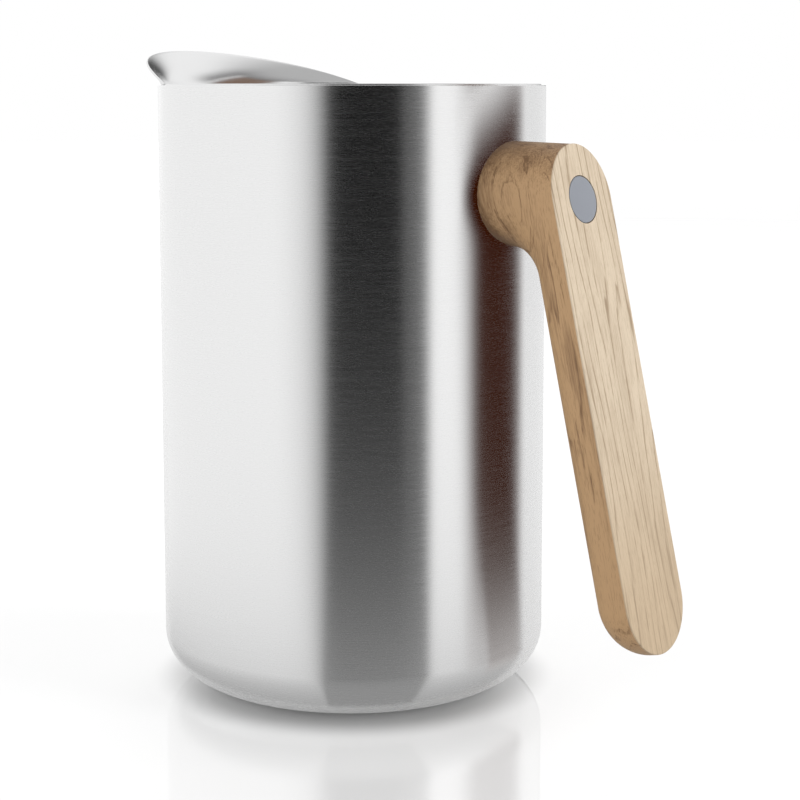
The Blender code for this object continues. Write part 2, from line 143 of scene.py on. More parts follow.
class Nodes:
    """Makes the nodes of one material or world."""

    def __init__(self, tree: bpy.types.NodeTree) -> None:
        """Takes a node tree and empties it."""
        tree.nodes.clear()
        self.tree = tree

    def add(self, kind: str, settings: Optional[dict[str, Any]] = None,
            sockets: Optional[dict[Union[str, int], Any]] = None, output: Union[str, int] = 0) -> Value:
        """Adds one node.

        Args:
            kind: The node's type.
            settings: Its properties, set first; "stops" holds a ramp's (position, colour) pairs.
            sockets: Values or links for its inputs, by name or number.
            output: The output to hand on.

        Returns:
            The chosen output.
        """
        node = self.tree.nodes.new(kind)
        for name, setting in (settings or {}).items():
            if name == "stops":
                self._set_stops(node.color_ramp, setting)
            else:
                setattr(node, name, setting)
        for name, value in (sockets or {}).items():
            if isinstance(value, Value):
                self.tree.links.new(value.socket, node.inputs[name])
            else:
                node.inputs[name].default_value = value
        return Value(self, node.outputs[output] if node.outputs else None)

    @staticmethod
    def _set_stops(ramp: bpy.types.ColorRamp, stops: Sequence[tuple[float, Colour]]) -> None:
        """Writes a ramp's stops."""
        while len(ramp.elements) < len(stops):
            ramp.elements.new(1.0)
        for element, (position, colour) in zip(ramp.elements, stops):
            element.position = position
            element.color = (*colour, 1.0)

    def math(self, operation: str, first: Number, second: Number) -> Value:
        """A Math node."""
        return self.add("ShaderNodeMath", {"operation": operation}, {0: first, 1: second})

    def mix(self, factor: Number, first: Union[Colour, Value], second: Union[Colour, Value],
            blend: str = "MIX") -> Value:
        """Mixes two colours.

        Args:
            factor: 0 for the first colour, 1 for the second.
            first: A colour or a link.
            second: A colour or a link.
            blend: How the second goes onto the first.

        Returns:
            The mixed colour.
        """
        pair = [colour if isinstance(colour, Value) else (*colour, 1.0) for colour in (first, second)]
        settings = {"data_type": "RGBA", "blend_type": blend}
        return self.add("ShaderNodeMix", settings, {0: factor, 6: pair[0], 7: pair[1]}, 2)

    def vector(self, operation: str, first: Value, second: Point3 = (0.0, 0.0, 0.0),
               output: str = "Vector") -> Value:
        """A Vector Math node, whose Value output holds a length or a dot product."""
        return self.add("ShaderNodeVectorMath", {"operation": operation}, {0: first, 1: second}, output)

    def spot(self, kind: str) -> Value:
        """A texture coordinate of one kind."""
        return self.add("ShaderNodeTexCoord", output=kind)

    def place(self) -> Value:
        """The point on the piece in millimetres, in the frame's own axes."""
        return self.vector("MULTIPLY", self.spot("Object"), (1 / MM, 1 / MM, 1 / MM))

    def split(self, vector: Value, axis: str) -> Value:
        """One component of a vector."""
        return self.add("ShaderNodeSeparateXYZ", sockets={0: vector}, output=axis)

    def axes(self, vector: Value) -> tuple[Value, ...]:
        """All three components of a vector."""
        return tuple(self.split(vector, axis) for axis in "XYZ")

    def noise(self, vector: Value, grain: Point3, detail: float = 2.0) -> Value:
        """Noise from 0 to 1.

        Args:
            vector: The point in millimetres.
            grain: The size of a grain along each axis, in millimetres.
            detail: How many finer layers are added.

        Returns:
            The noise, about 0.5 on average.
        """
        scaled = self.vector("MULTIPLY", vector, tuple(1.0 / size for size in grain))
        return self.add("ShaderNodeTexNoise", sockets={"Vector": scaled, "Scale": 1.0, "Detail": detail})

    def step(self, value: Value, low: float, high: float) -> Value:
        """A smooth step from 0 at the low value to 1 at the high one."""
        return self.add("ShaderNodeMapRange", {"interpolation_type": "SMOOTHSTEP"},
                        {"Value": value, "From Min": low, "From Max": high})

    def bump(self, height: Value, depth: float, strength: float = 1.0) -> Value:
        """A bumped normal; the depth is in millimetres."""
        return self.add("ShaderNodeBump", sockets={"Height": height, "Distance": depth * MM,
                                                   "Strength": strength})


# Finishes

def new_material(name: str) -> tuple[bpy.types.Material, Nodes]:
    """A new material and its emptied nodes."""
    made = bpy.data.materials.new(name)
    made.use_nodes = True
    return made, Nodes(made.node_tree)


@dataclass(frozen=True)
class Finish:
    """How one kind of surface looks. Each finish below paints its own nodes."""

    name: str
    slot: Slot

    def paint(self, nodes: Nodes) -> dict[str, Any]:
        """The values and links of the Principled shader's sockets."""
        raise NotImplementedError

    def material(self) -> bpy.types.Material:
        """The finish's material, made once.

        Returns:
            The material.
        """
        made = bpy.data.materials.get(self.name)
        if made is None:
            made, nodes = new_material(self.name)
            shader = nodes.add("ShaderNodeBsdfPrincipled", sockets=self.paint(nodes))
            nodes.add("ShaderNodeOutputMaterial", sockets={"Surface": shader})
        return made


@dataclass(frozen=True)
class BrushedSteel(Finish):
    """Stainless steel with fine lines brushed around the body."""

    tone: float = 0.85
    roughness: float = 0.26
    anisotropy: float = 0.92
    contrast: float = 0.035
    short_line: Point3 = (4.5, 4.5, 0.15)
    long_line: Point3 = (18.0, 18.0, 0.375)
    short_share: float = 0.6
    roughness_swing: float = 0.16
    line_depth: float = 0.002
    line_relief: float = 0.08

    def paint(self, nodes: Nodes) -> dict[str, Any]:
        """Short horizontal lines in colour, roughness and height.

        Args:
            nodes: The material's nodes.

        Returns:
            The shader's sockets.
        """
        place = nodes.place()
        short = nodes.noise(place, self.short_line, 1.0)
        long = nodes.noise(place, self.long_line, 1.0)
        lines = short * self.short_share + long * (1 - self.short_share)
        dark = self.tone * (1 - self.contrast)
        light = min(self.tone * (1 + self.contrast), 1.0)
        return {
            "Base Color": nodes.mix(lines, (dark,) * 3, (light,) * 3),
            "Metallic": 1.0,
            "Roughness": self.roughness + (lines - 0.5) * self.roughness_swing,
            "Anisotropic": self.anisotropy,
            "Anisotropic Rotation": 0.25,
            "Normal": nodes.bump(lines, self.line_depth, self.line_relief),
        }


@dataclass(frozen=True)
class SatinSteel(Finish):
    """Smooth steel with a soft sheen and no brushing lines."""

    dull: Colour = (0.798, 0.798, 0.8022)
    tone: Colour = (0.84, 0.84, 0.84)
    roughness: float = 0.17
    cloud: Point3 = (14.0, 14.0, 14.0)
    grain: Point3 = (0.5, 0.5, 0.5)
    grain_depth: float = 0.001
    grain_relief: float = 0.2

    def paint(self, nodes: Nodes) -> dict[str, Any]:
        """A faint cloudiness and a very fine grain.

        Args:
            nodes: The material's nodes.

        Returns:
            The shader's sockets.
        """
        place = nodes.place()
        cloud = nodes.noise(place, self.cloud)
        grain = nodes.noise(place, self.grain, 3.0)
        return {
            "Base Color": nodes.mix(cloud, self.dull, self.tone),
            "Metallic": 1.0,
            "Roughness": self.roughness + (cloud - 0.5) * 0.04 + (grain - 0.5) * 0.06,
            "Normal": nodes.bump(grain, self.grain_depth, self.grain_relief),
        }


@dataclass(frozen=True)
class Oak(Finish):
    """Solid oak: rings, fibres and pores cut by the surface wherever it lies."""

    lean: float = LEAN
    eye: Point3 = (FACE_X, 0.0, EYE_Z)
    ring: float = 3.4
    wander: Point3 = (17.0, 17.0, 80.0)
    waver: Point3 = (3.6, 3.6, 45.0)
    streak: Point3 = (1.1, 1.1, 9.0)
    fibre: Point3 = (0.42, 0.42, 11.0)
    pore: Point3 = (0.26, 0.26, 2.6)
    cloud: Point3 = (7.0, 7.0, 42.0)
    figure: Point = (-14.0, 2.4)
    figure_size: Point = (4.8, 11.0)
    heart: Point = (-3.5, -46.0)
    heart_size: Point = (3.2, 15.0)
    # Where the painted shade at the arm's root by the wall fades out, in millimetres along X
    root: Point = (60.5, 66.0)
    face: Point = (-0.5, -0.15)
    foot: Point = (-125.0, -50.0)
    near_side: Point = (-10.0, -5.0)
    # How strong the painted shade is on faces along the fibres, mostly the arm's top and underside, and at
    # the arm's root by the wall
    fibre_end_shade: float = 0.62
    root_contact_shade: float = 0.65
    # The front's colours are a paler copy of the sides': painted light on the front face and painted shade on
    # the sides. The front darkens towards its foot.
    pale: Colour = (0.572, 0.475, 0.357)
    pale_line: Colour = (0.31, 0.23, 0.152)
    pale_foot: Colour = (0.486, 0.376, 0.257)
    shaded_side: Colour = (0.46, 0.29, 0.151)
    shaded_side_line: Colour = (0.19, 0.105, 0.052)

    @staticmethod
    def oval(depth: Value, along: Value, centre: Point, size: Point) -> Value:
        """The distance from an upright oval's middle, 1 on the oval."""
        wide, high = (depth - centre[0]) / size[0], (along - centre[1]) / size[1]
        return (wide * wide + high * high).root()

    def paint(self, nodes: Nodes) -> dict[str, Any]:
        """Rings along the bar's axis, an oval figure on the arm's side, a paler front face as painted light,
        and painted shade on the sides and the arm.

        Args:
            nodes: The material's nodes.

        Returns:
            The shader's sockets.
        """
        place = nodes.place()
        wood = nodes.add("ShaderNodeMapping", {"vector_type": "TEXTURE"},
                         {"Vector": place, "Location": self.eye, "Rotation": (0.0, -self.lean, 0.0)})
        depth, across, along = nodes.axes(wood)
        wander = nodes.noise(wood, self.wander, 1.0) - 0.5
        waver = nodes.noise(wood, self.waver, 1.0) - 0.5
        streak = nodes.noise(wood, self.streak, 2.0)
        fibre = nodes.noise(wood, self.fibre, 3.0) - 0.5
        pore = nodes.noise(wood, self.pore, 1.0)
        cloud = nodes.noise(wood, self.cloud, 2.0) - 0.5
        near_side = 1 - nodes.step(across, *self.near_side)
        front = nodes.step(depth, *self.face)
        side = 1 - front
        foot = 1 - nodes.step(along, *self.foot)
        # Rings cut along the bar, which close into an oval on the arm's near side
        rings = (across * 0.95 + depth * 0.3 + wander * 13.0 + waver * 4.0) / self.ring
        oval = self.oval(depth, along, self.figure, self.figure_size)
        figured = (1 - nodes.step(oval, 1.3, 2.4)) * near_side
        rings = rings + figured * (oval * 1.35 + waver * 0.9 + 0.3 - rings)
        phase = rings.fraction()
        early = (1 - nodes.step(phase, 0.04, 0.26)) * nodes.step(phase, 0.0, 0.05)
        early = early * nodes.step(streak, 0.26, 0.6)
        dashes = nodes.step(pore, 0.55, 0.66) * (0.4 + 0.6 * early)
        early = early * (0.62 + 0.33 * front)
        heart = self.oval(depth, along, self.heart, self.heart_size)
        heart = (1 - nodes.step(heart + waver, 0.3, 1.1)) * near_side
        # How dark the wood is: rings, fibres and clouds, then painted shade on faces that look along the
        # fibres and at the arm's root
        line = early + fibre * 1.4 + cloud * 0.8 + 0.14 + heart * 0.5
        line = line + side * (cloud * 0.5 + (streak - 0.5) * 0.7 - 0.16)
        # Painted shade on faces that look along the fibres, the arm's top and underside most of all; the
        # bar's foot is left out
        fibre_way = (math.sin(self.lean), 0.0, -math.cos(self.lean))
        ends = nodes.vector("DOT_PRODUCT", nodes.spot("Normal"), fibre_way, "Value")
        ends = nodes.step(nodes.math("ABSOLUTE", ends, 0.0) + waver * 0.5, 0.15, 0.8)
        # Painted shade where the arm meets the steel wall
        root = 1 - nodes.step(nodes.split(place, "X"), *self.root)
        line = line + side * (ends * (1 - foot) * self.fibre_end_shade + root * self.root_contact_shade)
        # Paler front face, warmer sides: painted light on the front and painted shade on the sides
        light = nodes.mix(front, self.shaded_side, nodes.mix(foot, self.pale, self.pale_foot))
        dark = nodes.mix(front, self.shaded_side_line, self.pale_line)
        body = nodes.mix(line, light, dark)
        return {
            "Base Color": nodes.mix(dashes * 0.75, body, dark),
            "Roughness": 0.52 + early * 0.1 + fibre * 0.1,
            "Specular IOR Level": 0.3,
            "Normal": nodes.bump(fibre * 0.5 - dashes, 0.05, 0.3),
        }


@dataclass(frozen=True)
class Moulded(Finish):
    """A moulded plastic, rubber, foam or matt disc with a fine surface grain."""

    tone: Colour = (0.02, 0.02, 0.021)
    roughness: float = 0.45
    grain: float = 0.4
    grain_depth: float = 0.02
    cloudiness: float = 0.12
    cloud: Point3 = (9.0, 9.0, 9.0)

    def paint(self, nodes: Nodes) -> dict[str, Any]:
        """A fine grain in height and roughness, and a faint cloud in the colour.

        Args:
            nodes: The material's nodes.

        Returns:
            The shader's sockets.
        """
        place = nodes.place()
        grain = nodes.noise(place, (self.grain,) * 3, 2.0)
        cloud = nodes.noise(place, self.cloud, 3.0)
        shade = tuple(part * (1 - self.cloudiness) for part in self.tone)
        glow = tuple(min(part * (1 + self.cloudiness), 1.0) for part in self.tone)
        return {
            "Base Color": nodes.mix(cloud * 0.7 + grain * 0.3, shade, glow),
            "Roughness": self.roughness + (grain - 0.5) * 0.14 + (cloud - 0.5) * 0.08,
            "Normal": nodes.bump(grain, self.grain_depth, 0.5),
        }


BRUSHED = BrushedSteel("fine_brushed_steel", Slot.BRUSHED)
SATIN = SatinSteel("fine_satin_steel", Slot.SATIN)
BRIGHT = BrushedSteel("fine_bright_steel", Slot.BRIGHT, tone=0.68, roughness=0.3, anisotropy=0.6)
OAK = Oak("fine_oak", Slot.OAK)
CAP = Moulded("fine_grey_cap", Slot.CAP, (0.229, 0.243, 0.272), 0.5, 0.25, 0.006, 0.03)
PLASTIC = Moulded("fine_black_plastic", Slot.PLASTIC)
SILICONE = Moulded("fine_silicone", Slot.SILICONE, (0.05, 0.05, 0.054), 0.66, 0.3, 0.01)
FOAM = Moulded("fine_foam", Slot.FOAM, (0.74, 0.69, 0.56), 0.9, 0.9, 0.12)


# Shapes

def arc(centre: Point, radii: Point, start: float, end: float, steps: int) -> Outline:
    """Points on an elliptic arc.

    Args:
        centre: The middle of the ellipse, as (radius, height).
        radii: Its half axes.
        start: The first angle in degrees from +radius.
        end: The last angle.
        steps: How many steps lie between them.

    Returns:
        The points from start to end.
    """
    angles = [math.radians(start + (end - start) * k / steps) for k in range(steps + 1)]
    return [(centre[0] + radii[0] * math.cos(a), centre[1] + radii[1] * math.sin(a)) for a in angles]


def ease(low: float, high: float, start: float, end: float, steps: int) -> Outline:
    """Points that swing smoothly from one radius to another between two heights.

    Args:
        low: The first height.
        high: The last height.
        start: The radius at the first height.
        end: The radius at the last height.
        steps: How many steps lie between them.

    Returns:
        The points from low to high.
    """
    points = []
    for share in (k / steps for k in range(steps + 1)):
        swing = (1 - math.cos(math.pi * share)) / 2
        points.append((start + (end - start) * swing, low + (high - low) * share))
    return points


def rounded(corners: Sequence[Corner], steps: int = 5) -> Outline:
    """Rounds the corners of a closed outline.

    Args:
        corners: Each corner as (x, height, rounding); a rounding of 0 stays sharp.
        steps: The steps in each round.

    Returns:
        The outline's points.
    """
    outline: Outline = []
    for k, (x, height, rounding) in enumerate(corners):
        here = Vector((x, height))
        if rounding == 0.0:
            outline.append((x, height))
            continue
        back = (Vector(corners[k - 1][:2]) - here).normalized()
        onward = (Vector(corners[(k + 1) % len(corners)][:2]) - here).normalized()
        half = back.angle(onward) / 2
        reach = rounding / math.tan(half)
        centre = here + (back + onward).normalized() * (rounding / math.sin(half))
        first = here + back * reach - centre
        last = here + onward * reach - centre
        spokes = [first.slerp(last, j / steps) * rounding for j in range(steps + 1)]
        outline += [tuple(centre + spoke) for spoke in spokes]
    return outline


def sharp(points: Sequence[Point]) -> list[Corner]:
    """The points of a curve as corners that stay as they are."""
    return [(x, height, 0.0) for x, height in points]


def smooth(mesh: bpy.types.Mesh) -> None:
    """Shades a mesh smooth, with creases at its sharp edges."""
    mesh.shade_smooth()
    mesh.set_sharp_from_angle(angle=math.radians(CREASE))


def as_piece(name: str, bm: bmesh.types.BMesh, solid: bool = True) -> bpy.types.Object:
    """Turns a bmesh in millimetres into a smooth shaded object in metres.

    Args:
        name: The piece's name.
        bm: The mesh, which is freed.
        solid: True turns every face outwards, False keeps an open sheet's faces as they are.

    Returns:
        The new object.
    """
    bmesh.ops.remove_doubles(bm, verts=bm.verts, dist=MERGE)
    if solid:
        bmesh.ops.recalc_face_normals(bm, faces=bm.faces)
    bm.transform(Matrix.Scale(MM, 4))
    mesh = bpy.data.meshes.new(name)
    bm.to_mesh(mesh)
    bm.free()
    smooth(mesh)
    piece = bpy.data.objects.new(name, mesh)
    bpy.context.scene.collection.objects.link(piece)
    return piece


def turned(name: str, outline: Outline, steps: int = 160, place: Optional[Matrix] = None) -> bpy.types.Object:
    """Spins an outline about Z.

    Args:
        name: The piece's name.
        outline: Points of (radius, height). Ends on the axis close a disc, others close a ring.
        steps: The steps around the turn.
        place: Where the turned shape goes, in millimetres.

    Returns:
        The new object.
    """
    bm = bmesh.new()
    verts = [bm.verts.new((radius, 0.0, height)) for radius, height in outline]
    pairs = list(zip(verts, verts[1:]))
    if outline[0][0] > 0.0:
        pairs.append((verts[-1], verts[0]))
    edges = [bm.edges.new(pair) for pair in pairs]
    bmesh.ops.spin(bm, geom=verts + edges, cent=(0, 0, 0), axis=(0, 0, 1), angle=2 * math.pi,
                   steps=steps, use_merge=True)
    if place is not None:
        bm.transform(place)
    return as_piece(name, bm)


def lofted(name: str, loops: Sequence[Sequence[Point3]],
           close: Optional[Callable[[Loop], list[Loop]]] = None) -> bpy.types.Object:
    """Skins closed loops that all have as many points.

    Args:
        name: The piece's name.
        loops: The loops in order.
        close: Gives the faces that close an end loop. Without it the last loop joins the first.

    Returns:
        The new object.
    """
    bm = bmesh.new()
    rows = [[bm.verts.new(point) for point in loop] for loop in loops]
    following = rows[1:] if close else rows[1:] + rows[:1]
    for row, after in zip(rows, following):
        for k in range(len(row)):
            n = (k + 1) % len(row)
            bm.faces.new((row[k], row[n], after[n], after[k]))
    if close:
        for corners in close(rows[0]) + close(rows[-1]):
            bm.faces.new(corners)
    return as_piece(name, bm)


def woven(name: str, rows: Sequence[Sequence[Point3]]) -> bpy.types.Object:
    """An open sheet through rows of points.

    Args:
        name: The sheet's name.
        rows: The rows in order, all with as many points.

    Returns:
        The new object, with UV from 0 to 1 over the rows and along each row.
    """
    bm = bmesh.new()
    uv = bm.loops.layers.uv.new("share")
    verts = [[bm.verts.new(point) for point in row] for row in rows]
    last_row, last_point = len(rows) - 1, len(rows[0]) - 1
    for k in range(last_row):
        for j in range(last_point):
            spots = ((k, j), (k, j + 1), (k + 1, j + 1), (k + 1, j))
            face = bm.faces.new([verts[row][point] for row, point in spots])
            for loop, (row, point) in zip(face.loops, spots):
                loop[uv].uv = row / last_row, point / last_point
    return as_piece(name, bm, solid=False)


def extruded(name: str, outline: Outline, low: float, high: float, bevel: float = 0.0) -> bpy.types.Object:
    """A plate with an (x, height) outline between two places along Y.

    Args:
        name: The piece's name.
        outline: The plate's points.
        low: Its first side along Y.
        high: Its second side.
        bevel: The rounding along its rims.

    Returns:
        The new object.
    """
    bm = bmesh.new()
    face = bm.faces.new([bm.verts.new((x, low, height)) for x, height in outline])
    grown = bmesh.ops.extrude_face_region(bm, geom=[face])
    moved = [item for item in grown["geom"] if isinstance(item, bmesh.types.BMVert)]
    bmesh.ops.translate(bm, verts=moved, vec=(0, high - low, 0))
    if bevel:
        rims = [edge for edge in bm.edges if abs(edge.verts[0].co.y - edge.verts[1].co.y) < MERGE]
        bmesh.ops.bevel(bm, geom=rims, offset=bevel, segments=3, profile=0.5, affect="EDGES")
    return as_piece(name, bm)


def rod(name: str, radius: float, start: Point3, end: Point3, sides: int = 64,
        bevel: float = 0.0) -> bpy.types.Object:
    """A round bar between two points.

    Args:
        name: The piece's name.
        radius: The bar's radius.
        start: Its first end.
        end: Its last end.
        sides: The sides around it; six give a hexagon.
        bevel: The rounding at both ends.

    Returns:
        The new object.
    """
    way = Vector(end) - Vector(start)
    corners = [(0.0, 0.0, 0.0), (radius, 0.0, bevel), (radius, way.length, bevel), (0.0, way.length, 0.0)]
    place = Matrix.Translation(start) @ way.to_track_quat("Z", "Y").to_matrix().to_4x4()
    return turned(name, rounded(corners, 4), sides, place)


def combine(target: bpy.types.Object, *tools: tuple[bpy.types.Object, str]) -> bpy.types.Object:
    """Applies Booleans to a piece and removes their tools.

    Args:
        target: The piece.
        tools: Pairs of a tool and UNION or DIFFERENCE.

    Returns:
        The piece with its new mesh.
    """
    for tool, operation in tools:
        cut = target.modifiers.new(tool.name, "BOOLEAN")
        cut.operation = operation
        cut.solver = "EXACT"
        cut.object = tool
    done = target.evaluated_get(bpy.context.evaluated_depsgraph_get())
    mesh = bpy.data.meshes.new_from_object(done)
    target.modifiers.clear()
    target.data = mesh
    smooth(mesh)
    for tool, _ in tools:
        bpy.data.objects.remove(tool)
    return target


def dress(piece: bpy.types.Object, finish: Finish, body: Body, *nodes: str) -> None:
    """Gives a piece its finish and its body, and hides the nodes that it stands for.

    Args:
        piece: The piece, in place.
        finish: Its finish.
        body: The body that carries it.
        nodes: The frame's nodes that it replaces.
    """
    piece.data.materials.clear()
    piece.data.materials.append(finish.material())
    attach(piece, body.value)
    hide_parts(*nodes)
    log.info("%s: %d faces, %s on %s", piece.name, len(piece.data.polygons), finish.name, body.value)


def finish_node(node: str, finish: Finish) -> None:
    """Gives a node of the frame that keeps its own mesh a procedural finish.

    Args:
        node: The node's name.
        finish: Its finish.
    """
    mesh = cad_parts[node].data
    mesh.materials.clear()
    mesh.materials.append(finish.material())
    log.info("%s: kept, %s", node, finish.name)


# The jug's sub-assemblies

@dataclass
class DoubleWall:
    """The brushed outer wall, and the flask with its floor inside it."""

    radius: float = BODY_RADIUS
    rim: float = RIM
    lift: float = LIFT
    corner: Point = (19.0, 15.5)
    base_opening: float = BASE_OPENING
    rim_rounding: float = 0.3
    flask_radius: float = 55.2
    flask_floor: float = 9.0
    flask_corner: float = 14.0
    seam: float = 32.0
    shoulder: Point = (146.0, 158.0)
    neck_radius: float = 47.8
    neck_top: float = 172.0

    def outer_wall(self) -> None:
        """The brushed wall, open at the rim and in the middle of its base."""
        centre = (self.radius - self.corner[0], self.lift + self.corner[1])
        inner = (self.corner[0] - SHEET, self.corner[1] - SHEET)
        corners = [(self.radius, self.rim, self.rim_rounding)]
        corners += sharp(arc(centre, self.corner, 0, -90, 48))
        corners += [(self.base_opening, self.lift, 0.2), (self.base_opening, self.lift + SHEET, 0.2)]
        corners += sharp(arc(centre, inner, -90, 0, 24))
        corners += [(self.radius - SHEET, self.rim, self.rim_rounding)]
        dress(turned("outer_wall", rounded(corners), 320), BRUSHED, Body.JUG, "outer_shell")

    def flask(self) -> None:
        """The inner wall, drawn in to a neck."""
        shoulder = ease(*self.shoulder, self.flask_radius, self.neck_radius, 24)
        back = [(radius - SHEET, height) for radius, height in reversed(shoulder)]
        corners = [(self.flask_radius, self.seam, 0.2), *sharp(shoulder),
                   (self.neck_radius, self.neck_top, 0.3), (self.neck_radius - SHEET, self.neck_top, 0.3),
                   *sharp(back), (self.flask_radius - SHEET, self.seam, 0.2)]
        dress(turned("flask_wall", rounded(corners)), BRIGHT, Body.JUG, "inner_flask")

    def flask_dish(self) -> None:
        """The drawn dish under the flask."""
        centre = (self.flask_radius - self.flask_corner, self.flask_floor + self.flask_corner)
        inner = self.flask_corner - SHEET
        top = self.seam - GAP
        corners = [(0.0, self.flask_floor, 0.0)]
        corners += sharp(arc(centre, (self.flask_corner, self.flask_corner), -90, 0, 20))
        corners += [(self.flask_radius, top, 0.2), (self.flask_radius - SHEET, top, 0.2)]
        corners += sharp(arc(centre, (inner, inner), 0, -90, 20))
        corners += [(0.0, self.flask_floor + SHEET, 0.0)]
        dress(turned("flask_dish", rounded(corners)), BRIGHT, Body.JUG, "flask_base")

    def build(self) -> None:
        """Makes and dresses the walls."""
        self.outer_wall()
        self.flask()
        self.flask_dish()
        finish_node("getter", BRIGHT)


@dataclass
class Foot:
    """The base disc with its dimple, and the pad that the jug stands on."""

    opening: float = BASE_OPENING
    lift: float = LIFT
    rebate: float = 2.7
    step: float = 1.0
    groove: float = 22.0
    groove_depth: float = 0.4
    groove_width: float = 2.0
    pad_top: float = 1.7
    dimple: float = 6.5
    dimple_rise: float = 1.5
    thickness: float = 0.8
    port: float = 1.6

    def disc(self) -> None:
        """The welded disc, with a step for the pad and a dimple for the port."""
        rim = self.opening - GAP
        step = rim - self.rebate
        low, high = self.lift, self.lift + self.step
        up = self.thickness
        peak = high + self.dimple_rise
        corners = [(rim, low, 0.2), (step, low, 0.25), (step, high, 0.15), (self.dimple, high, 0.4),
                   (self.dimple - 1.5, peak, 0.4), (self.port, peak, 0.1), (self.port, peak + up, 0.1),
                   (self.dimple - 1.1, peak + up, 0.4), (self.dimple + 0.4, high + up, 0.4),
                   (step + up, high + up, 0.3), (step + up, low + up, 0.15), (rim, low + up, 0.2)]
        dress(turned("base_disc", rounded(corners)), BRIGHT, Body.JUG, "base_plate")

    def pad(self) -> None:
        """The silicone pad with its grip groove."""
        radius = self.opening - self.rebate - 2 * GAP
        deep, start, end = self.groove_depth, self.groove, self.groove + self.groove_width
        corners = [(0.0, 0.0, 0.0), (start, 0.0, 0.15), (start + deep, deep, 0.15),
                   (end - deep, deep, 0.15), (end, 0.0, 0.15), (radius - 0.7, 0.0, 0.3),
                   (radius, 0.6, 0.3), (radius, self.pad_top, 0.2), (0.0, self.pad_top, 0.0)]
        dress(turned("foot_pad", rounded(corners)), SILICONE, Body.JUG, "base_pad")

    def build(self) -> None:
        """Makes and dresses the base."""
        self.disc()
        self.pad()
        finish_node("vacuum_plug", BRIGHT)


@dataclass
class PouringCollar:
    """The drawn steel ring that seats the stopper and rises into the pouring lip."""

    skirt_radius: float = 46.0
    skirt_foot: float = SKIRT_FOOT
    skirt_bend: float = 1.2
    seat: float = SEAT
    trough_start: float = 49.8
    trough_drop: float = 2.4
    radius: float = 58.2
    rim: float = RIM
    half_angle: float = math.radians(54.3)
    reach: float = 13.1
    bend_rise: float = 4.0
    rise: float = 11.6
    plan_power: float = 1.2
    rise_power: float = 0.9
    lip_steps: int = 150
    ring_steps: int = 170
    rise_steps: int = 20

    def share(self, angle: float) -> float:
        """How far the lip has risen at an angle from the spout: 1 at its tip, 0 past its ends."""
        return math.cos(math.pi * angle / (2 * self.half_angle)) if abs(angle) < self.half_angle else 0.0

    def midline(self, angle: float) -> Outline:
        """The middle of the sheet: skirt, seat, trough and lip.

        Args:
            angle: The angle from the spout.

        Returns:
            Points of (radius, height) from the skirt's foot to the lip's edge.
        """
        half, bend = SHEET / 2, self.skirt_bend
        share = max(self.share(angle), 0.0)
        seat = self.seat - half
        top = self.rim - self.trough_drop
        skirt = self.skirt_radius + half
        line = [(skirt, self.skirt_foot + half)]
        line += arc((skirt + bend, seat - bend), (bend, bend), 180, 90, 6)
        line += arc((self.trough_start, top), (self.radius - self.trough_start, top - seat), -90, 0, 20)
        edge = Vector((self.radius + self.reach * share ** self.plan_power,
                       self.rim - GAP + self.rise * share ** self.rise_power))
        turn = Vector((self.radius, self.rim - GAP / 2 + self.bend_rise * share))
        edge -= (edge - turn).normalized() * half
        foot = Vector((self.radius, top))
        for t in ((k + 1) / self.rise_steps for k in range(self.rise_steps)):
            line.append(tuple(foot * (1 - t) ** 2 + turn * 2 * t * (1 - t) + edge * t ** 2))
        return line

    @staticmethod
    def sheet(line: Outline) -> Outline:
        """A closed outline around a midline, with round ends.

        Args:
            line: The midline.

        Returns:
            The outline's points.
        """
        half = SHEET / 2
        points = [Vector(point) for point in line]
        left: list[Vector] = []
        right: list[Vector] = []
        ends: list[Vector] = []
        for k, point in enumerate(points):
            along = (points[min(k + 1, len(points) - 1)] - points[max(k - 1, 0)]).normalized()
            side = Vector((-along.y, along.x)) * half
            left.append(point + side)
            right.append(point - side)
            ends.append(along * half)
        first, last = points[0], points[-1]
        tip = [last + (left[-1] - last).slerp(ends[-1], t) * half for t in (0.33, 0.67)]
        tip += [last + ends[-1].slerp(right[-1] - last, t) * half for t in (0.0, 0.33, 0.67)]
        foot = [first + (right[0] - first).slerp(-ends[0], t) * half for t in (0.5, 1.0)]
        foot.append(first + (-ends[0]).slerp(left[0] - first, 0.5) * half)
        return [tuple(point) for point in left + tip + right[::-1] + foot]

    def build(self) -> None:
        """Makes and dresses the collar."""
        rest = math.pi - self.half_angle
        angles = [self.half_angle * (2 * k / self.lip_steps - 1) for k in range(self.lip_steps)]
        angles += [self.half_angle + rest * 2 * k / self.ring_steps for k in range(self.ring_steps)]
        loops = []
        for angle in angles:
            outline = self.sheet(self.midline(angle))
            loops.append([(-r * math.cos(angle), -r * math.sin(angle), z) for r, z in outline])
        dress(lofted("pouring_collar", loops), SATIN, Body.JUG, "pour_collar")


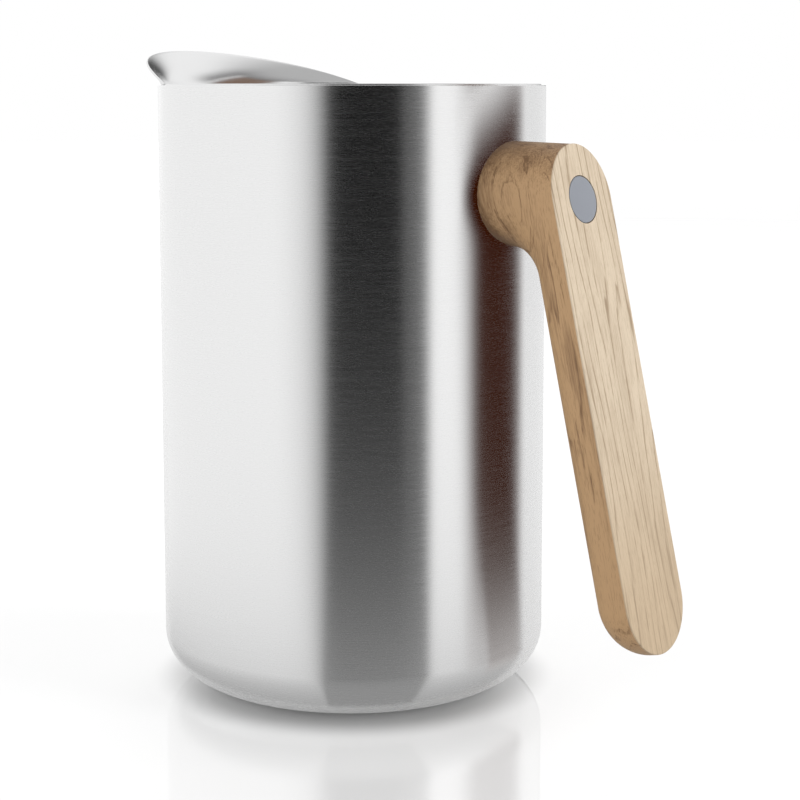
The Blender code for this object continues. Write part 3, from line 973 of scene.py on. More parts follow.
@dataclass
class OakHandle:
    """The oak bar with its round arm, the cap on its screw, and the fixings inside."""

    half_width: float = 15.0
    lean: float = LEAN
    face_x: float = FACE_X
    eye_z: float = EYE_Z
    length: float = 115.3
    top_stretch: float = 1.08
    thickness: float = 12.3
    back_rounding: float = 6.5
    foot_rounding: float = 3.5
    foot_power: float = 0.6
    front_break: float = 0.35
    support: float = 0.4
    arm_z: float = ARM_Z
    arm_radius: float = 15.1
    arm_sag: float = 0.5
    fillet: float = 17.0
    end_rounding: float = 1.0
    body_radius: float = BODY_RADIUS
    cap_radius: float = 6.7
    cap_thickness: float = 1.7
    cap_recess: float = 2.0
    cap_break: float = 0.15
    stud_foot: Point = (9.0, 62.5)
    stud_hex: Point = (6.0, 71.0)
    screw_radius: float = 3.0
    washer_seat: float = 74.5
    counterbore: float = 6.4
    bore_span: Point = (50.0, 95.0)
    bore_sides: int = 63
    cap_sides: int = 96
    last_turn: float = math.radians(89.4)
    stations: int = 96
    back_steps: int = 22
    fillet_steps: int = 16
    end_steps: int = 6

    def bar_point(self, along: float, inwards: float) -> Point:
        """(x, z) of a point along the face from the eye, and inwards from the face."""
        x = self.face_x + along * math.sin(self.lean) - inwards * math.cos(self.lean)
        return x, self.eye_z - along * math.cos(self.lean) - inwards * math.sin(self.lean)

    def bar_depth(self, inset: float, extra: float = 0.0) -> float:
        """The bar's thickness at a distance in from its outline.

        Args:
            inset: The distance in from the outline.
            extra: What is added to the rounding of the back edge.

        Returns:
            The thickness.
        """
        rounding = self.back_rounding + extra
        short = max(rounding - inset, 0.0)
        return self.thickness - rounding + math.sqrt(rounding ** 2 - short ** 2)

    def arm_fillet(self, arm_z: float, depth: float, steps: int) -> Outline:
        """The hollow curve from the bar's back up to the arm's underside.

        Args:
            arm_z: The height of the arm's underside.
            depth: The bar's thickness there.
            steps: The steps along the curve.

        Returns:
            Points of (x, z).
        """
        on_back = Vector(self.bar_point(0.0, depth))
        down = Vector((math.sin(self.lean), -math.cos(self.lean)))
        corner = on_back + down * ((on_back.y - arm_z) / math.cos(self.lean))
        opening = math.pi / 2 + self.lean
        reach = self.fillet / math.tan(opening / 2)
        inwards = Vector((-math.cos(self.lean), -math.sin(self.lean)))
        centre = corner + down * reach + inwards * self.fillet
        start, end = math.degrees(self.lean), math.degrees(math.pi - opening + self.lean)
        return arc(tuple(centre), (self.fillet, self.fillet), start, end, steps)

    def arm_end(self, across: float, reach: float, tilts: Sequence[float]) -> list[Point3]:
        """The rounded end of the arm, hollowed to sit on the round body.

        Args:
            across: Where the slice lies across the arm.
            reach: The slice's height above or below the arm's axis.
            tilts: Angles along the rounding in degrees.

        Returns:
            The points in order.
        """
        points = []
        for tilt in tilts:
            inset = self.end_rounding * (1 - math.cos(math.radians(tilt)))
            share = (self.half_width - inset) / self.half_width
            back = self.end_rounding * (1 - math.sin(math.radians(tilt)))
            x = math.sqrt((self.body_radius + GAP) ** 2 - (across * share) ** 2) + back
            points.append((x, across * share, self.arm_z + reach * share))
        return points

    def edge(self, side: float, across: float, up: float) -> list[Point3]:
        """The broken front edge, from the flat face round to the side.

        Args:
            side: 1 for the bar's foot, -1 for its top.
            across: Where the slice lies across the bar.
            up: The slice's half height at a round end.

        Returns:
            The points from the face outwards.
        """
        half, broken = self.half_width, self.front_break
        base, stretch = (self.length, 1.0) if side > 0 else (0.0, self.top_stretch)
        spots = [(broken + self.support, 0.0)]
        for tilt in (0.0, 22.5, 45.0, 67.5, 90.0):
            turn = math.radians(tilt)
            spots.append((broken * (1 - math.sin(turn)), broken * (1 - math.cos(turn))))
        spots.append((0.0, broken + self.support))
        points = []
        for inset, depth in spots:
            share = (half - inset) / half
            x, z = self.bar_point(base + side * up * share * stretch, depth)
            points.append((x, across * share, z))
        return points

    def section(self, turn: float) -> list[Point3]:
        """One closed slice of the handle.

        Args:
            turn: From -90 to 90 degrees across the handle's width, in radians.

        Returns:
            The slice's points.
        """
        half = self.half_width
        across, up = half * math.sin(turn), half * math.cos(turn)
        points = self.edge(1.0, across, up)
        for k in range(self.back_steps):
            share = k / (self.back_steps - 1)
            along = up * max(math.cos(math.pi / 2 * share), 0.0) ** self.foot_power
            inset = max(half - math.hypot(along, across), 0.0)
            depth = self.bar_depth(inset, self.foot_rounding * along / half)
            x, z = self.bar_point(self.length + along, depth)
            points.append((x, across, z))
        reach = self.arm_radius * math.cos(turn)
        low = self.arm_z - self.arm_sag - reach
        curve = self.arm_fillet(low, self.bar_depth(half - abs(across)), self.fillet_steps)
        points += [(x, across, z) for x, z in curve]
        tilts = [90 * k / self.end_steps for k in range(self.end_steps + 1)]
        points += self.arm_end(across, -reach, tilts)
        points += self.arm_end(across, reach, tilts[::-1])
        points += self.edge(-1.0, across, up)[::-1]
        return points

    def close(self, row: Loop) -> list[Loop]:
        """The faces that close one side of the handle.

        Args:
            row: The outermost slice.

        Returns:
            Strips along the broken edge and the arm's thin end, and the flat between them.
        """
        edge = len(self.edge(1.0, 0.0, 0.0))
        low = edge + self.back_steps + self.fillet_steps + 1
        high = low + 2 * self.end_steps + 1
        faces = [[row[k], row[k + 1], row[-k - 2], row[-k - 1]] for k in range(edge - 1)]
        faces += [[row[low + k], row[low + k + 1], row[high - k - 1], row[high - k]]
                  for k in range(self.end_steps)]
        return faces + [row[edge - 1:low + 1] + row[high:len(row) - edge + 1]]

    def bar(self) -> None:
        """The oak piece, bored for its fixings and recessed for its cap."""
        shares = [2 * k / self.stations - 1 for k in range(self.stations + 1)]
        sections = [self.section(self.last_turn * share) for share in shares]
        oak = lofted("oak_handle", sections, self.close)
        for tool in (self.stud_bore(), self.bore(), self.cap_bore()):
            combine(oak, (tool, "DIFFERENCE"))
        dress(oak, OAK, Body.JUG, "handle")
        # Hidden from reflections: the strip card and the dark sheet round the arm paint its reflection in the
        # steel instead
        oak.visible_glossy = False

    def stud_bore(self) -> bpy.types.Object:
        """The six-sided cutter for the stud."""
        radius = self.stud_hex[0] / math.cos(math.pi / 6) + GAP
        start, end = (self.bore_span[0], 0, self.eye_z), (self.stud_hex[1] + GAP, 0, self.eye_z)
        return rod("bore_stud_hex", radius, start, end, 6)

    def bore(self) -> bpy.types.Object:
        """The stepped cutter for the stud's foot, the screw and its head."""
        foot, screw, head = self.stud_foot[0] + GAP, self.screw_radius + GAP, self.counterbore
        start, end = self.bore_span
        shoulder = self.stud_foot[1] + GAP
        steps = [(0, start), (foot, start), (foot, shoulder), (screw, shoulder),
                 (screw, self.washer_seat), (head, self.washer_seat), (head, end), (0, end)]
        lying = Matrix.Translation((0, 0, self.eye_z)) @ Matrix.Rotation(math.pi / 2, 4, "Y")
        return turned("bore_round", steps, self.bore_sides, lying)

    def cap_bore(self) -> bpy.types.Object:
        """The cutter for the cap's recess, which reaches out past the face."""
        face, outwards = self.face_and_normal()
        start, end = face - outwards * self.cap_recess, face + outwards * 5
        return rod("bore_cap", self.cap_radius + GAP, start, end, self.cap_sides)

    def face_and_normal(self) -> tuple[Vector, Vector]:
        """The middle of the cap on the face, and the way that the face looks."""
        return Vector((self.face_x, 0, self.eye_z)), Vector((math.cos(self.lean), 0, math.sin(self.lean)))

    def cap(self) -> None:
        """The grey disc, flush with the face."""
        face, outwards = self.face_and_normal()
        inner = face - outwards * self.cap_thickness
        disc = rod("handle_disc", self.cap_radius, inner, face, self.cap_sides, self.cap_break)
        dress(disc, CAP, Body.JUG, "handle_cap")
        # Hidden from reflections, like the oak
        disc.visible_glossy = False

    def build(self) -> None:
        """Makes and dresses the handle."""
        self.bar()
        self.cap()
        for node in ("handle_stud", "handle_washer", "handle_screw"):
            finish_node(node, BRIGHT)


@dataclass
class Hinge:
    """The sizes that the stopper and its flap share."""

    x: float = 37.0
    z: float = 182.0
    pin: float = 1.5
    knuckle: float = 3.2
    knuckle_half: float = 6.6
    lug_inner: float = 7.0
    lug_outer: float = 12.0
    bore_half: float = 20.0
    sides: int = 48

    def across(self, name: str, radius: float, half: float, sides: int,
               bevel: float = 0.0) -> bpy.types.Object:
        """A round bar along the hinge's axis.

        Args:
            name: The bar's name.
            radius: Its radius.
            half: Its half length.
            sides: The sides around it.
            bevel: The rounding at both ends.

        Returns:
            The new object.
        """
        return rod(name, radius, (self.x, -half, self.z), (self.x, half, self.z), sides, bevel)

    def bore(self, name: str) -> bpy.types.Object:
        """The pin's bore, as a tool."""
        return self.across(name, self.pin + GAP, self.bore_half, self.sides)


@dataclass
class Stopper:
    """The plug with its deck, lugs, seals, base ring, foam and hinge pin."""

    hinge: Hinge
    foot: float = SKIRT_FOOT
    seat: float = SEAT
    deck: float = DECK
    lug_root: float = 2.0
    flange: float = 49.2
    barrel: float = 44.0
    hole: float = 24.0
    seal_heights: Point = (157.0, 167.0)
    seal_tall: float = 3.0
    groove: float = 42.4
    seal_radius: float = 46.0
    cavity: Point = (26.0, 40.5)
    cavity_roof: float = 173.3
    ring_height: float = 2.0
    pin_inset: float = 0.4
    pin_break: float = 0.3

    def plug(self) -> None:
        """The turned plug with two hinge lugs on its deck."""
        corners = [(self.hole, self.foot, 0.3), (self.hole, self.deck, 0.8), (self.flange, self.deck, 1.0),
                   (self.flange, self.seat + GAP, 0.4), (self.barrel, self.seat + GAP, 0.2)]
        for height in reversed(self.seal_heights):
            top = height + self.seal_tall
            corners += [(self.barrel, top, 0.15), (self.groove, top, 0.1),
                        (self.groove, height, 0.1), (self.barrel, height, 0.15)]
        corners += [(self.barrel, self.foot, 0.9), (self.cavity[1], self.foot, 0.2),
                    (self.cavity[1], self.cavity_roof, 0.5), (self.cavity[0], self.cavity_roof, 0.5),
                    (self.cavity[0], self.foot, 0.2)]
        plug = turned("stopper_plug", rounded(corners))
        hinge = self.hinge
        for side, name in ((-1, "lug_left"), (1, "lug_right")):
            ears = sorted((side * hinge.lug_inner, side * hinge.lug_outer))
            outline = arc((hinge.x, hinge.z), (hinge.knuckle, hinge.knuckle), 0, 180, 24)
            low = self.deck - self.lug_root
            outline += [(hinge.x - hinge.knuckle, low), (hinge.x + hinge.knuckle, low)]
            combine(plug, (extruded(name, outline, *ears, bevel=0.35), "UNION"))
        combine(plug, (hinge.bore("lug_bore"), "DIFFERENCE"))
        dress(plug, PLASTIC, Body.STOPPER, "stopper_body")

    def seal(self, name: str, node: str, height: float) -> None:
        """A silicone ring with a tapered lip, in one groove.

        Args:
            name: The piece's name.
            node: The node that it stands for.
            height: Where its groove starts.
        """
        inner, outer = self.groove + GAP, self.seal_radius - GAP
        low, high = height + GAP, height + self.seal_tall - GAP
        root = self.barrel - 0.2
        corners = [(inner, low, 0.1), (root, low, 0.2), (outer, low + 0.7, 0.35), (outer, high - 0.7, 0.35),
                   (root, high, 0.2), (inner, high, 0.1)]
        dress(turned(name, rounded(corners)), SILICONE, Body.STOPPER, node)

    def base_ring(self) -> None:
        """The ring that closes the plug's hollow from below."""
        inner, outer = self.cavity[0] + GAP, self.cavity[1] - GAP
        low, high = self.foot, self.foot + self.ring_height
        corners = [(inner, low, 0.3), (outer, low, 0.3), (outer, high, 0.2), (inner, high, 0.2)]
        dress(turned("stopper_ring", rounded(corners)), PLASTIC, Body.STOPPER, "stopper_base")

    def pin(self) -> None:
        """The steel pin through the lugs and the flap's knuckle."""
        hinge = self.hinge
        half = hinge.lug_outer - self.pin_inset
        piece = hinge.across("hinge_pin", hinge.pin, half, hinge.sides, self.pin_break)
        dress(piece, BRIGHT, Body.STOPPER, "flap_pin")

    def build(self) -> None:
        """Makes and dresses the stopper."""
        self.plug()
        self.seal("seal_ring_low", "lower_seal", self.seal_heights[0])
        self.seal("seal_ring_high", "upper_seal", self.seal_heights[1])
        self.base_ring()
        self.pin()
        finish_node("stopper_insulation", FOAM)


@dataclass
class PouringFlap:
    """The hinged flap with its steel cover and its gasket."""

    hinge: Hinge
    radius: float = 33.0
    underside: float = 179.0
    top: float = 182.4
    plug_foot: float = 170.0
    plug_radii: Point = (20.6, 22.8)
    cover_radius: float = 31.0
    cover_recess: float = 1.1
    cover_room: float = 0.4
    cover_edge: float = 1.0
    cover_dome: float = 1.9
    dome_steps: int = 12
    gasket: Point = (26.6, 30.4)
    gasket_roof: float = 180.6
    tongue_root: float = 1.4
    deck: float = DECK

    def flap(self) -> None:
        """The black flap: its plug, gasket groove, cover seat and knuckle."""
        low, top, floor = self.underside, self.top, self.top - self.cover_recess
        ledge = self.cover_radius + self.cover_room
        inner, outer, roof = self.gasket[0] - GAP, self.gasket[1] + GAP, self.gasket_roof
        corners = [(0.0, self.plug_foot, 0.0), (self.plug_radii[0], self.plug_foot, 0.8),
                   (self.plug_radii[1], low, 0.3), (inner, low, 0.15), (inner, roof, 0.1),
                   (outer, roof, 0.1), (outer, low, 0.15), (self.radius, low, 0.6), (self.radius, top, 0.8),
                   (ledge, top, 0.15), (ledge, floor, 0.1), (0.0, floor, 0.0)]
        flap = turned("pouring_flap", rounded(corners))
        hinge = self.hinge
        half = hinge.knuckle_half
        root = self.radius - self.tongue_root
        outline = [(hinge.x, hinge.z - hinge.knuckle), (hinge.x, hinge.z + 0.2),
                   (root, top - 0.2), (root, low + 0.2)]
        tongue = extruded("flap_tongue", outline, -half + 0.01, half - 0.01)
        combine(flap, (tongue, "UNION"))
        knuckle = hinge.across("flap_knuckle", hinge.knuckle, half, 64, 0.3)
        combine(flap, (knuckle, "UNION"), (hinge.bore("flap_bore"), "DIFFERENCE"))
        dress(flap, PLASTIC, Body.LID, "flap")

    def cover(self) -> None:
        """The domed steel disc on the flap."""
        low = self.top - self.cover_recess + GAP
        rim = self.cover_radius
        dome = []
        for share in (k / self.dome_steps for k in range(self.dome_steps + 1)):
            rise = (self.cover_dome - self.cover_edge) * (1 - (1 - share) ** 2)
            dome.append(((rim - 0.6) * (1 - share), low + self.cover_edge + rise))
        corners = [(0.0, low, 0.0), (rim, low, 0.15), (rim, low + 0.75, 0.3), *sharp(dome)]
        dress(turned("flap_disc", rounded(corners)), SATIN, Body.LID, "flap_cover")

    def gasket_ring(self) -> None:
        """The silicone ring that the flap closes on."""
        inner, outer = self.gasket
        low, high = self.deck + GAP, self.gasket_roof - GAP
        corners = [(inner, high, 0.1), (inner, low + 0.3, 0.2), (inner + 1.0, low, 0.5),
                   (outer - 1.0, low, 0.5), (outer, low + 0.3, 0.2), (outer, high, 0.1)]
        dress(turned("flap_seal", rounded(corners)), SILICONE, Body.LID, "flap_gasket")

    def build(self) -> None:
        """Makes and dresses the flap."""
        self.flap()
        self.cover()
        self.gasket_ring()


# Studio and camera

@dataclass
class PhotoCamera:
    """The camera at the photograph's angle, in metres and degrees."""

    azimuth: float = 40.01
    distance: float = 0.5679
    height: float = 0.1857
    pitch: float = 6.74
    yaw: float = 1.49
    lens: float = 81.64
    shift: float = -0.12

    def build(self) -> None:
        """Places the camera and makes it the scene's own."""
        data = bpy.data.cameras.new("photo_camera")
        data.sensor_width = 36.0
        data.lens = self.lens
        data.shift_y = self.shift
        camera = bpy.data.objects.new("photo_camera", data)
        bpy.context.scene.collection.objects.link(camera)
        turn = Matrix.Rotation(math.radians(self.azimuth), 4, "Z")
        yaw, pitch = math.radians(self.yaw), math.radians(self.pitch)
        look = Vector((math.sin(yaw) * math.cos(pitch), math.cos(yaw) * math.cos(pitch), -math.sin(pitch)))
        camera.location = turn @ Vector((0.0, -self.distance, self.height))
        camera.rotation_euler = (turn @ look).to_track_quat("-Z", "Y").to_euler()
        bpy.context.scene.camera = camera
        log.info("camera at %s", tuple(round(part, 4) for part in camera.location))


@dataclass(frozen=True)
class SkyPatch:
    """A grey patch of the sky that the steel mirrors, with soft edges.

    Heights run from -1 to 1, bearings are degrees to the right of the camera. Each edge is a pair: where
    the patch starts or ends to show, and where it is whole or gone.
    """

    level: float
    bottom: Optional[Point] = None
    top: Optional[Point] = None
    left: Optional[Point] = None
    right: Optional[Point] = None
    blurred_only: bool = False

    def mask(self, nodes: Nodes, height: Value, bearing: Value) -> Value:
        """How much of the patch shows.

        Args:
            nodes: The world's nodes.
            height: The height of the ray.
            bearing: Its bearing.

        Returns:
            The share from 0 to 1.
        """
        starts = ((height, self.bottom), (bearing, self.left))
        ends = ((height, self.top), (bearing, self.right))
        shares = [nodes.step(way, *edge) for way, edge in starts if edge]
        shares += [1 - nodes.step(way, *edge) for way, edge in ends if edge]
        if self.blurred_only:
            shares.append(1 - ray(nodes, "Singular"))
        return math.prod(shares[1:], start=shares[0])


@dataclass(frozen=True)
class Card:
    """A curved card that the jug mirrors.

    Attributes:
        name: The card's name.
        rise: How high it goes, in degrees.
        dark: Its darkest colour.
        stops: Pairs of a bearing on the jug and the share of white that shows there, in order.
        lift: Pairs of a glow near the jug and the distance at which it has faded out.
        crown: The least glow of its upper part.
        narrowing: How far its left edge moves in near the jug, as a share of its width.
    """

    name: str
    rise: float
    dark: Colour
    stops: tuple[Point, ...]
    lift: tuple[tuple[Colour, float], ...]
    crown: Colour = (0.0, 0.0, 0.0)
    narrowing: float = 0.0

    def bearing(self, share: float) -> float:
        """The bearing at a share of the card's width."""
        return self.stops[0][0] + (self.stops[-1][0] - self.stops[0][0]) * share

    def share(self, bearing: float) -> float:
        """The share of the card's width at a bearing."""
        return (bearing - self.stops[0][0]) / (self.stops[-1][0] - self.stops[0][0])


@dataclass(frozen=True)
class Softbox:
    """A soft area light that faces the jug: degrees from the camera, metres and watts."""

    name: str
    bearing: float
    rise: float
    far: float
    size: Point
    power: float


GRADUATED_FLAG = Card(
    "graduated_flag", 62.0, (0.003, 0.003, 0.003),
    ((-72, 0.97), (-21.8, 1.0), (-18.4, 0.95), (-14.5, 0.84), (-12.1, 0.7), (-10.1, 0.52), (-8.2, 0.26),
     (-6.5, 0.03), (-4.4, 0.0), (12.6, 0.0), (14.3, 0.09), (19.3, 0.12), (21, 0.5), (22.7, 1.1), (28.5, 1.1),
     (31, 0.95), (33, 0.7)),
    (((0.155,) * 3, 0.28), ((0.115,) * 3, 0.9)))
# A dark strip flag whose dark brown, brown glow near the jug and warm crown also paint the oak handle's
# reflection in the steel
STRIP_AND_HANDLE_REFLECTION = Card(
    "strip_and_handle_reflection", 60.0, (0.039, 0.007, 0.001),
    ((33, 0.7), (34.3, 0.45), (36, 0.12), (38, 0.01), (51.5, 0.0), (54.5, 0.15), (57, 0.7), (59, 1.0)),
    (((0.47,) * 3, 0.22), ((0.029, 0.01, 0.003), 0.9)), (0.19, 0.13, 0.1), 0.5)
SKY = (
    SkyPatch(0.86, top=(0.15, 0.4), left=(100.0, 112.0)),
    SkyPatch(0.52, bottom=(0.68, 0.92)),
    SkyPatch(0.22, bottom=(0.42, 0.66), top=(0.8, 0.93), left=(20.0, 60.0), right=(118.0, 146.0)),
    SkyPatch(0.05, bottom=(0.02, 0.06), top=(0.3, 0.5), left=(158.0, 172.0), blurred_only=True),
)
SOFTBOXES = (
    Softbox("right_softbox", 72.0, 15.0, 1.5, (1.0, 1.4), 21.0),
    Softbox("left_softbox", -70.0, 18.0, 1.6, (1.2, 1.4), 11.0),
    Softbox("back_softbox", 178.0, 42.0, 1.6, (1.2, 1.2), 7.0),
)


def ray(nodes: Nodes, *kinds: str) -> Value:
    """1 for a ray of one of the named kinds, else 0."""
    rays = [nodes.add("ShaderNodeLightPath", output="Is %s Ray" % kind) for kind in kinds]
    return nodes.math("MINIMUM", sum(rays[1:], rays[0]), 1.0)


@dataclass
class Studio:
    """A white floor, soft light and the cards that the steel mirrors, in metres and degrees."""

    camera: PhotoCamera
    floor_radius: float = 6.0
    floor_tone: float = 0.62
    floor_glow: float = 0.3
    floor_shine: float = 0.13
    floor_ior: float = 3.0
    side_light: float = 1.42
    top_light: float = 0.28
    light_height: float = 0.1
    body_radius: float = BODY_RADIUS * MM
    # The ring round the foot where the floor's glow is left out, as a painted contact shadow
    contact_shadow_ring: Point = (0.05, 0.065)
    card_radius: float = 1.4
    card_start: float = -0.005
    card_height: float = 0.003
    card_steps: int = 96
    card_gain: float = 1.2
    card_crown: Point = (0.7, 0.95)
    narrow_reach: Point = (0.09, 0.23)
    # A dark sheet round the arm that paints the arm's shaded reflection in the steel
    arm_shade_radius: float = 14.0
    arm_shade_span: Point = (58.0, 90.0)
    arm_shade_fade: Point = (0.086, 0.06)
    # The white card that paints a paler reflection in the steel above the arm by the rim
    rim_card_left: Point = (0.1615, 0.1845)
    rim_card_right: Point = (0.181, 0.2155)
    rim_card_bearings: Point = (29.0, 61.0)
    rim_card_far: float = 0.022
    rim_card_steps: int = 24
    # The painted contact shadow on the cards round the jug's foot
    foot_glow: float = 1.1
    foot_shade: float = 0.56
    foot_fade: float = -1.0

    def world(self) -> None:
        """White to the eye, graded as light, and with grey patches for reflections."""
        world = bpy.data.worlds.new("studio")
        bpy.context.scene.world = world
        world.use_nodes = True
        world.cycles.sampling_method = "NONE"
        nodes = Nodes(world.node_tree)
        x, y, height = nodes.axes(nodes.spot("Generated"))
        turn = math.radians(self.camera.azimuth)
        front = x * math.sin(turn) - y * math.cos(turn)
        right = x * math.cos(turn) + y * math.sin(turn)
        bearing = nodes.math("ARCTAN2", right, front) * math.degrees(1.0)
        seen: Union[Colour, Value] = (1.0,) * 3
        for patch in SKY:
            seen = nodes.mix(patch.mask(nodes, height, bearing), seen, (patch.level,) * 3)
        light = nodes.mix(nodes.step(height, 0.0, 0.9), (self.side_light,) * 3, (self.top_light,) * 3)
        level = nodes.mix(ray(nodes, "Glossy", "Transmission"), light, seen)
        level = nodes.mix(ray(nodes, "Camera"), level, (1.0,) * 3)
        sky = nodes.add("ShaderNodeBackground", sockets={"Color": level, "Strength": 1.0})
        nodes.add("ShaderNodeOutputWorld", sockets={"Surface": sky})

    def floor(self) -> None:
        """A pale floor with a faint mirror image, which keeps the jug's shadow."""
        bm = bmesh.new()
        bmesh.ops.create_circle(bm, cap_ends=True, segments=96, radius=self.floor_radius / MM)
        floor = as_piece("floor", bm)
        paint, nodes = new_material("pale_floor")
        paint.cycles.emission_sampling = "NONE"
        distance = nodes.vector("LENGTH", nodes.spot("Object"), output="Value")
        # No glow in a ring round the jug's foot: a painted contact shadow on top of the real one
        clear = nodes.step(distance, *self.contact_shadow_ring)
        shine = nodes.mix(ray(nodes, "Glossy", "Transmission"), (0.0,) * 3, (self.floor_shine,) * 3)
        glow = nodes.mix(clear, (0.0,) * 3, (self.floor_glow,) * 3)
        glow = nodes.mix(ray(nodes, "Camera"), shine, glow)
        tone = self.floor_tone
        shader = nodes.add("ShaderNodeBsdfPrincipled", sockets={
            "Base Color": (tone, tone, tone, 1.0), "Roughness": 0.0, "IOR": self.floor_ior,
            "Emission Color": glow, "Emission Strength": 1.0})
        nodes.add("ShaderNodeOutputMaterial", sockets={"Surface": shader})
        floor.data.materials.append(paint)

    def mirrored(self, bearing: float, far: float, height: float) -> Point3:
        """A point that the jug mirrors to the camera, in millimetres.

        Args:
            bearing: Where the jug mirrors it, in degrees to the right of the camera.
            far: The level distance from the jug's wall.
            height: The height above the floor.

        Returns:
            The point, with the camera along -Y.
        """
        turn = math.radians(bearing)
        right, front = self.body_radius * math.sin(turn), self.body_radius * math.cos(turn)
        way = 2 * turn + math.atan2(right, self.camera.distance - front)
        return (right + far * math.sin(way)) / MM, -(front + far * math.cos(way)) / MM, height / MM

    def card(self, card: Card) -> None:
        """Stands a card along the floor and up round the jug.

        Args:
            card: The card.
        """
        far = self.card_radius
        profile = [(self.card_start, self.card_height), (far, self.card_height)]
        profile += arc((0.0, 0.0), (far, far), 1, card.rise, 40)
        bearings = [card.bearing(k / self.card_steps) for k in range(self.card_steps + 1)]
        rows = [[self.mirrored(bearing, *point) for point in profile] for bearing in bearings]
        paint, nodes = new_material(card.name)
        self.sheet(nodes, self.card_glow(nodes, card), self.card_gain, 0.0)
        self.stand(woven(card.name, rows), paint, self.camera.azimuth)

    def card_glow(self, nodes: Nodes, card: Card) -> Value:
        """The glow of a card's front.

        Args:
            nodes: The material's nodes.
            card: The card.

        Returns:
            The colour, before the gain.
        """
        ramp = []
        for bearing, white in card.stops:
            colour = tuple((white + (1 - white) * shade) / self.card_gain for shade in card.dark)
            ramp.append((card.share(bearing), colour))
        spot = nodes.spot("Object")
        distance = nodes.vector("LENGTH", spot, output="Value")
        along = nodes.split(nodes.spot("UV"), "X")
        beside = 1 - nodes.step(distance, *self.narrow_reach)
        along = along - beside * card.narrowing * (1 - along)
        colour = nodes.add("ShaderNodeValToRGB", {"stops": ramp}, {0: along})
        near = nodes.mix(nodes.step(nodes.split(spot, "Z"), *self.card_crown), (0.0,) * 3, card.crown)
        for glow, end in card.lift:
            share = 1 - nodes.step(distance, self.card_start + self.body_radius, end)
            near = nodes.mix(share, near, glow, "ADD")
        # Darker near the jug's foot: a painted contact shadow, which the steel's lower rounding mirrors
        shade = nodes.math("POWER", distance / self.body_radius, self.foot_fade) * self.foot_shade
        cap = nodes.mix(shade, (self.foot_glow / self.card_gain,) * 3, (0.0,) * 3)
        return nodes.mix(1.0, nodes.mix(1.0, colour, near, "LIGHTEN"), cap, "DARKEN")

    @staticmethod
    def sheet(nodes: Nodes, level: Union[Colour, Value], gain: float, clear: Number) -> None:
        """Closes a card's material: a glow on its front, for blurred reflections alone.

        Args:
            nodes: The material's nodes.
            level: The glow's colour.
            gain: The glow's strength.
            clear: The share that shows through.
        """
        behind = nodes.add("ShaderNodeNewGeometry", output="Backfacing")
        hidden = nodes.math("MAXIMUM", nodes.math("MAXIMUM", behind, ray(nodes, "Singular")), clear)
        glow = nodes.add("ShaderNodeEmission", sockets={"Color": level, "Strength": gain})
        through = nodes.add("ShaderNodeBsdfTransparent")
        sheet = nodes.add("ShaderNodeMixShader", sockets={0: hidden, 1: glow, 2: through})
        nodes.add("ShaderNodeOutputMaterial", sockets={"Surface": sheet})

    @staticmethod
    def stand(card: bpy.types.Object, paint: bpy.types.Material, turn: float = 0.0) -> None:
        """Stages a card that only glossy rays see.

        Args:
            card: The card's object.
            paint: Its material.
            turn: How far it is turned about the jug's axis, in degrees.
        """
        for kind in ("camera", "diffuse", "transmission", "shadow", "volume_scatter"):
            setattr(card, "visible_" + kind, False)
        card.rotation_euler.z = math.radians(turn)
        paint.cycles.emission_sampling = "NONE"
        card.data.materials.append(paint)

    def arm_reflection_shade(self) -> None:
        """A dark sleeve round the handle's arm, which fades out away from the wall: a painted reflection of
        the arm's shaded side in the steel.
        """
        start, end = ((x, 0, ARM_Z) for x in self.arm_shade_span)
        paint, nodes = new_material("arm_reflection_shade")
        clear = 1 - nodes.step(nodes.split(nodes.spot("Object"), "X"), *self.arm_shade_fade)
        self.sheet(nodes, (*STRIP_AND_HANDLE_REFLECTION.dark, 1.0), 1.0, clear)
        self.stand(rod("arm_reflection_shade", self.arm_shade_radius, start, end), paint)

    def rim_reflection_card(self) -> None:
        """A small white card above the arm by the rim, which fades out downwards: a painted paler reflection
        in the steel above the arm.
        """
        rows = []
        for share in (k / self.rim_card_steps for k in range(self.rim_card_steps + 1)):
            bearing, low, high = (left + (right - left) * share for left, right in (
                self.rim_card_bearings, *zip(self.rim_card_left, self.rim_card_right)))
            rows.append([self.mirrored(bearing, self.rim_card_far, height) for height in (low, high)])
        paint, nodes = new_material("rim_reflection_card")
        clear = 1 - nodes.step(nodes.split(nodes.spot("UV"), "Y"), 0.0, 1.0)
        self.sheet(nodes, (1.0,) * 4, 1.0, clear)
        self.stand(woven("rim_reflection_card", rows), paint, self.camera.azimuth)

    def softbox(self, box: Softbox) -> None:
        """Hangs one area light.

        Args:
            box: The light's place, size and power.
        """
        data = bpy.data.lights.new(box.name, "AREA")
        data.shape = "RECTANGLE"
        data.size, data.size_y = box.size
        data.energy = box.power
        lamp = bpy.data.objects.new(box.name, data)
        bpy.context.scene.collection.objects.link(lamp)
        turn, lift = math.radians(self.camera.azimuth + box.bearing), math.radians(box.rise)
        way = Vector((math.sin(turn) * math.cos(lift), -math.cos(turn) * math.cos(lift), math.sin(lift)))
        lamp.location = Vector((0.0, 0.0, self.light_height)) + way * box.far
        lamp.rotation_euler = (-way).to_track_quat("-Z", "Y").to_euler()
        lamp.visible_glossy = False
        lamp.visible_camera = False

    def build(self) -> None:
        """Makes the floor, the cards and the light."""
        bpy.context.scene.view_settings.view_transform = "Standard"
        self.world()
        self.floor()
        for card in (GRADUATED_FLAG, STRIP_AND_HANDLE_REFLECTION):
            self.card(card)
        self.arm_reflection_shade()
        self.rim_reflection_card()
        for box in SOFTBOXES:
            self.softbox(box)


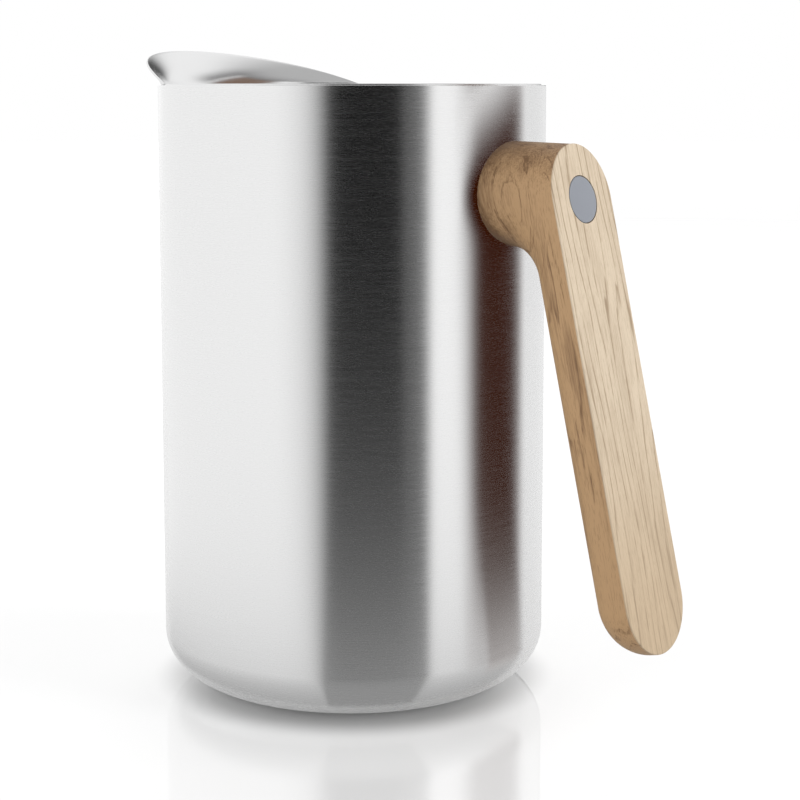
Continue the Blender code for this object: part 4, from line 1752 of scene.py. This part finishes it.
def main() -> None:
    """Builds the jug's sub-assemblies, then the studio around them."""
    logging.basicConfig(level=logging.INFO, format="%(name)s %(message)s")
    hinge = Hinge()
    for group in (DoubleWall(), Foot(), PouringCollar(), OakHandle(), Stopper(hinge), PouringFlap(hinge)):
        group.build()
    camera = PhotoCamera()
    Studio(camera).build()
    camera.build()


if __name__ == "__main__":
    main()
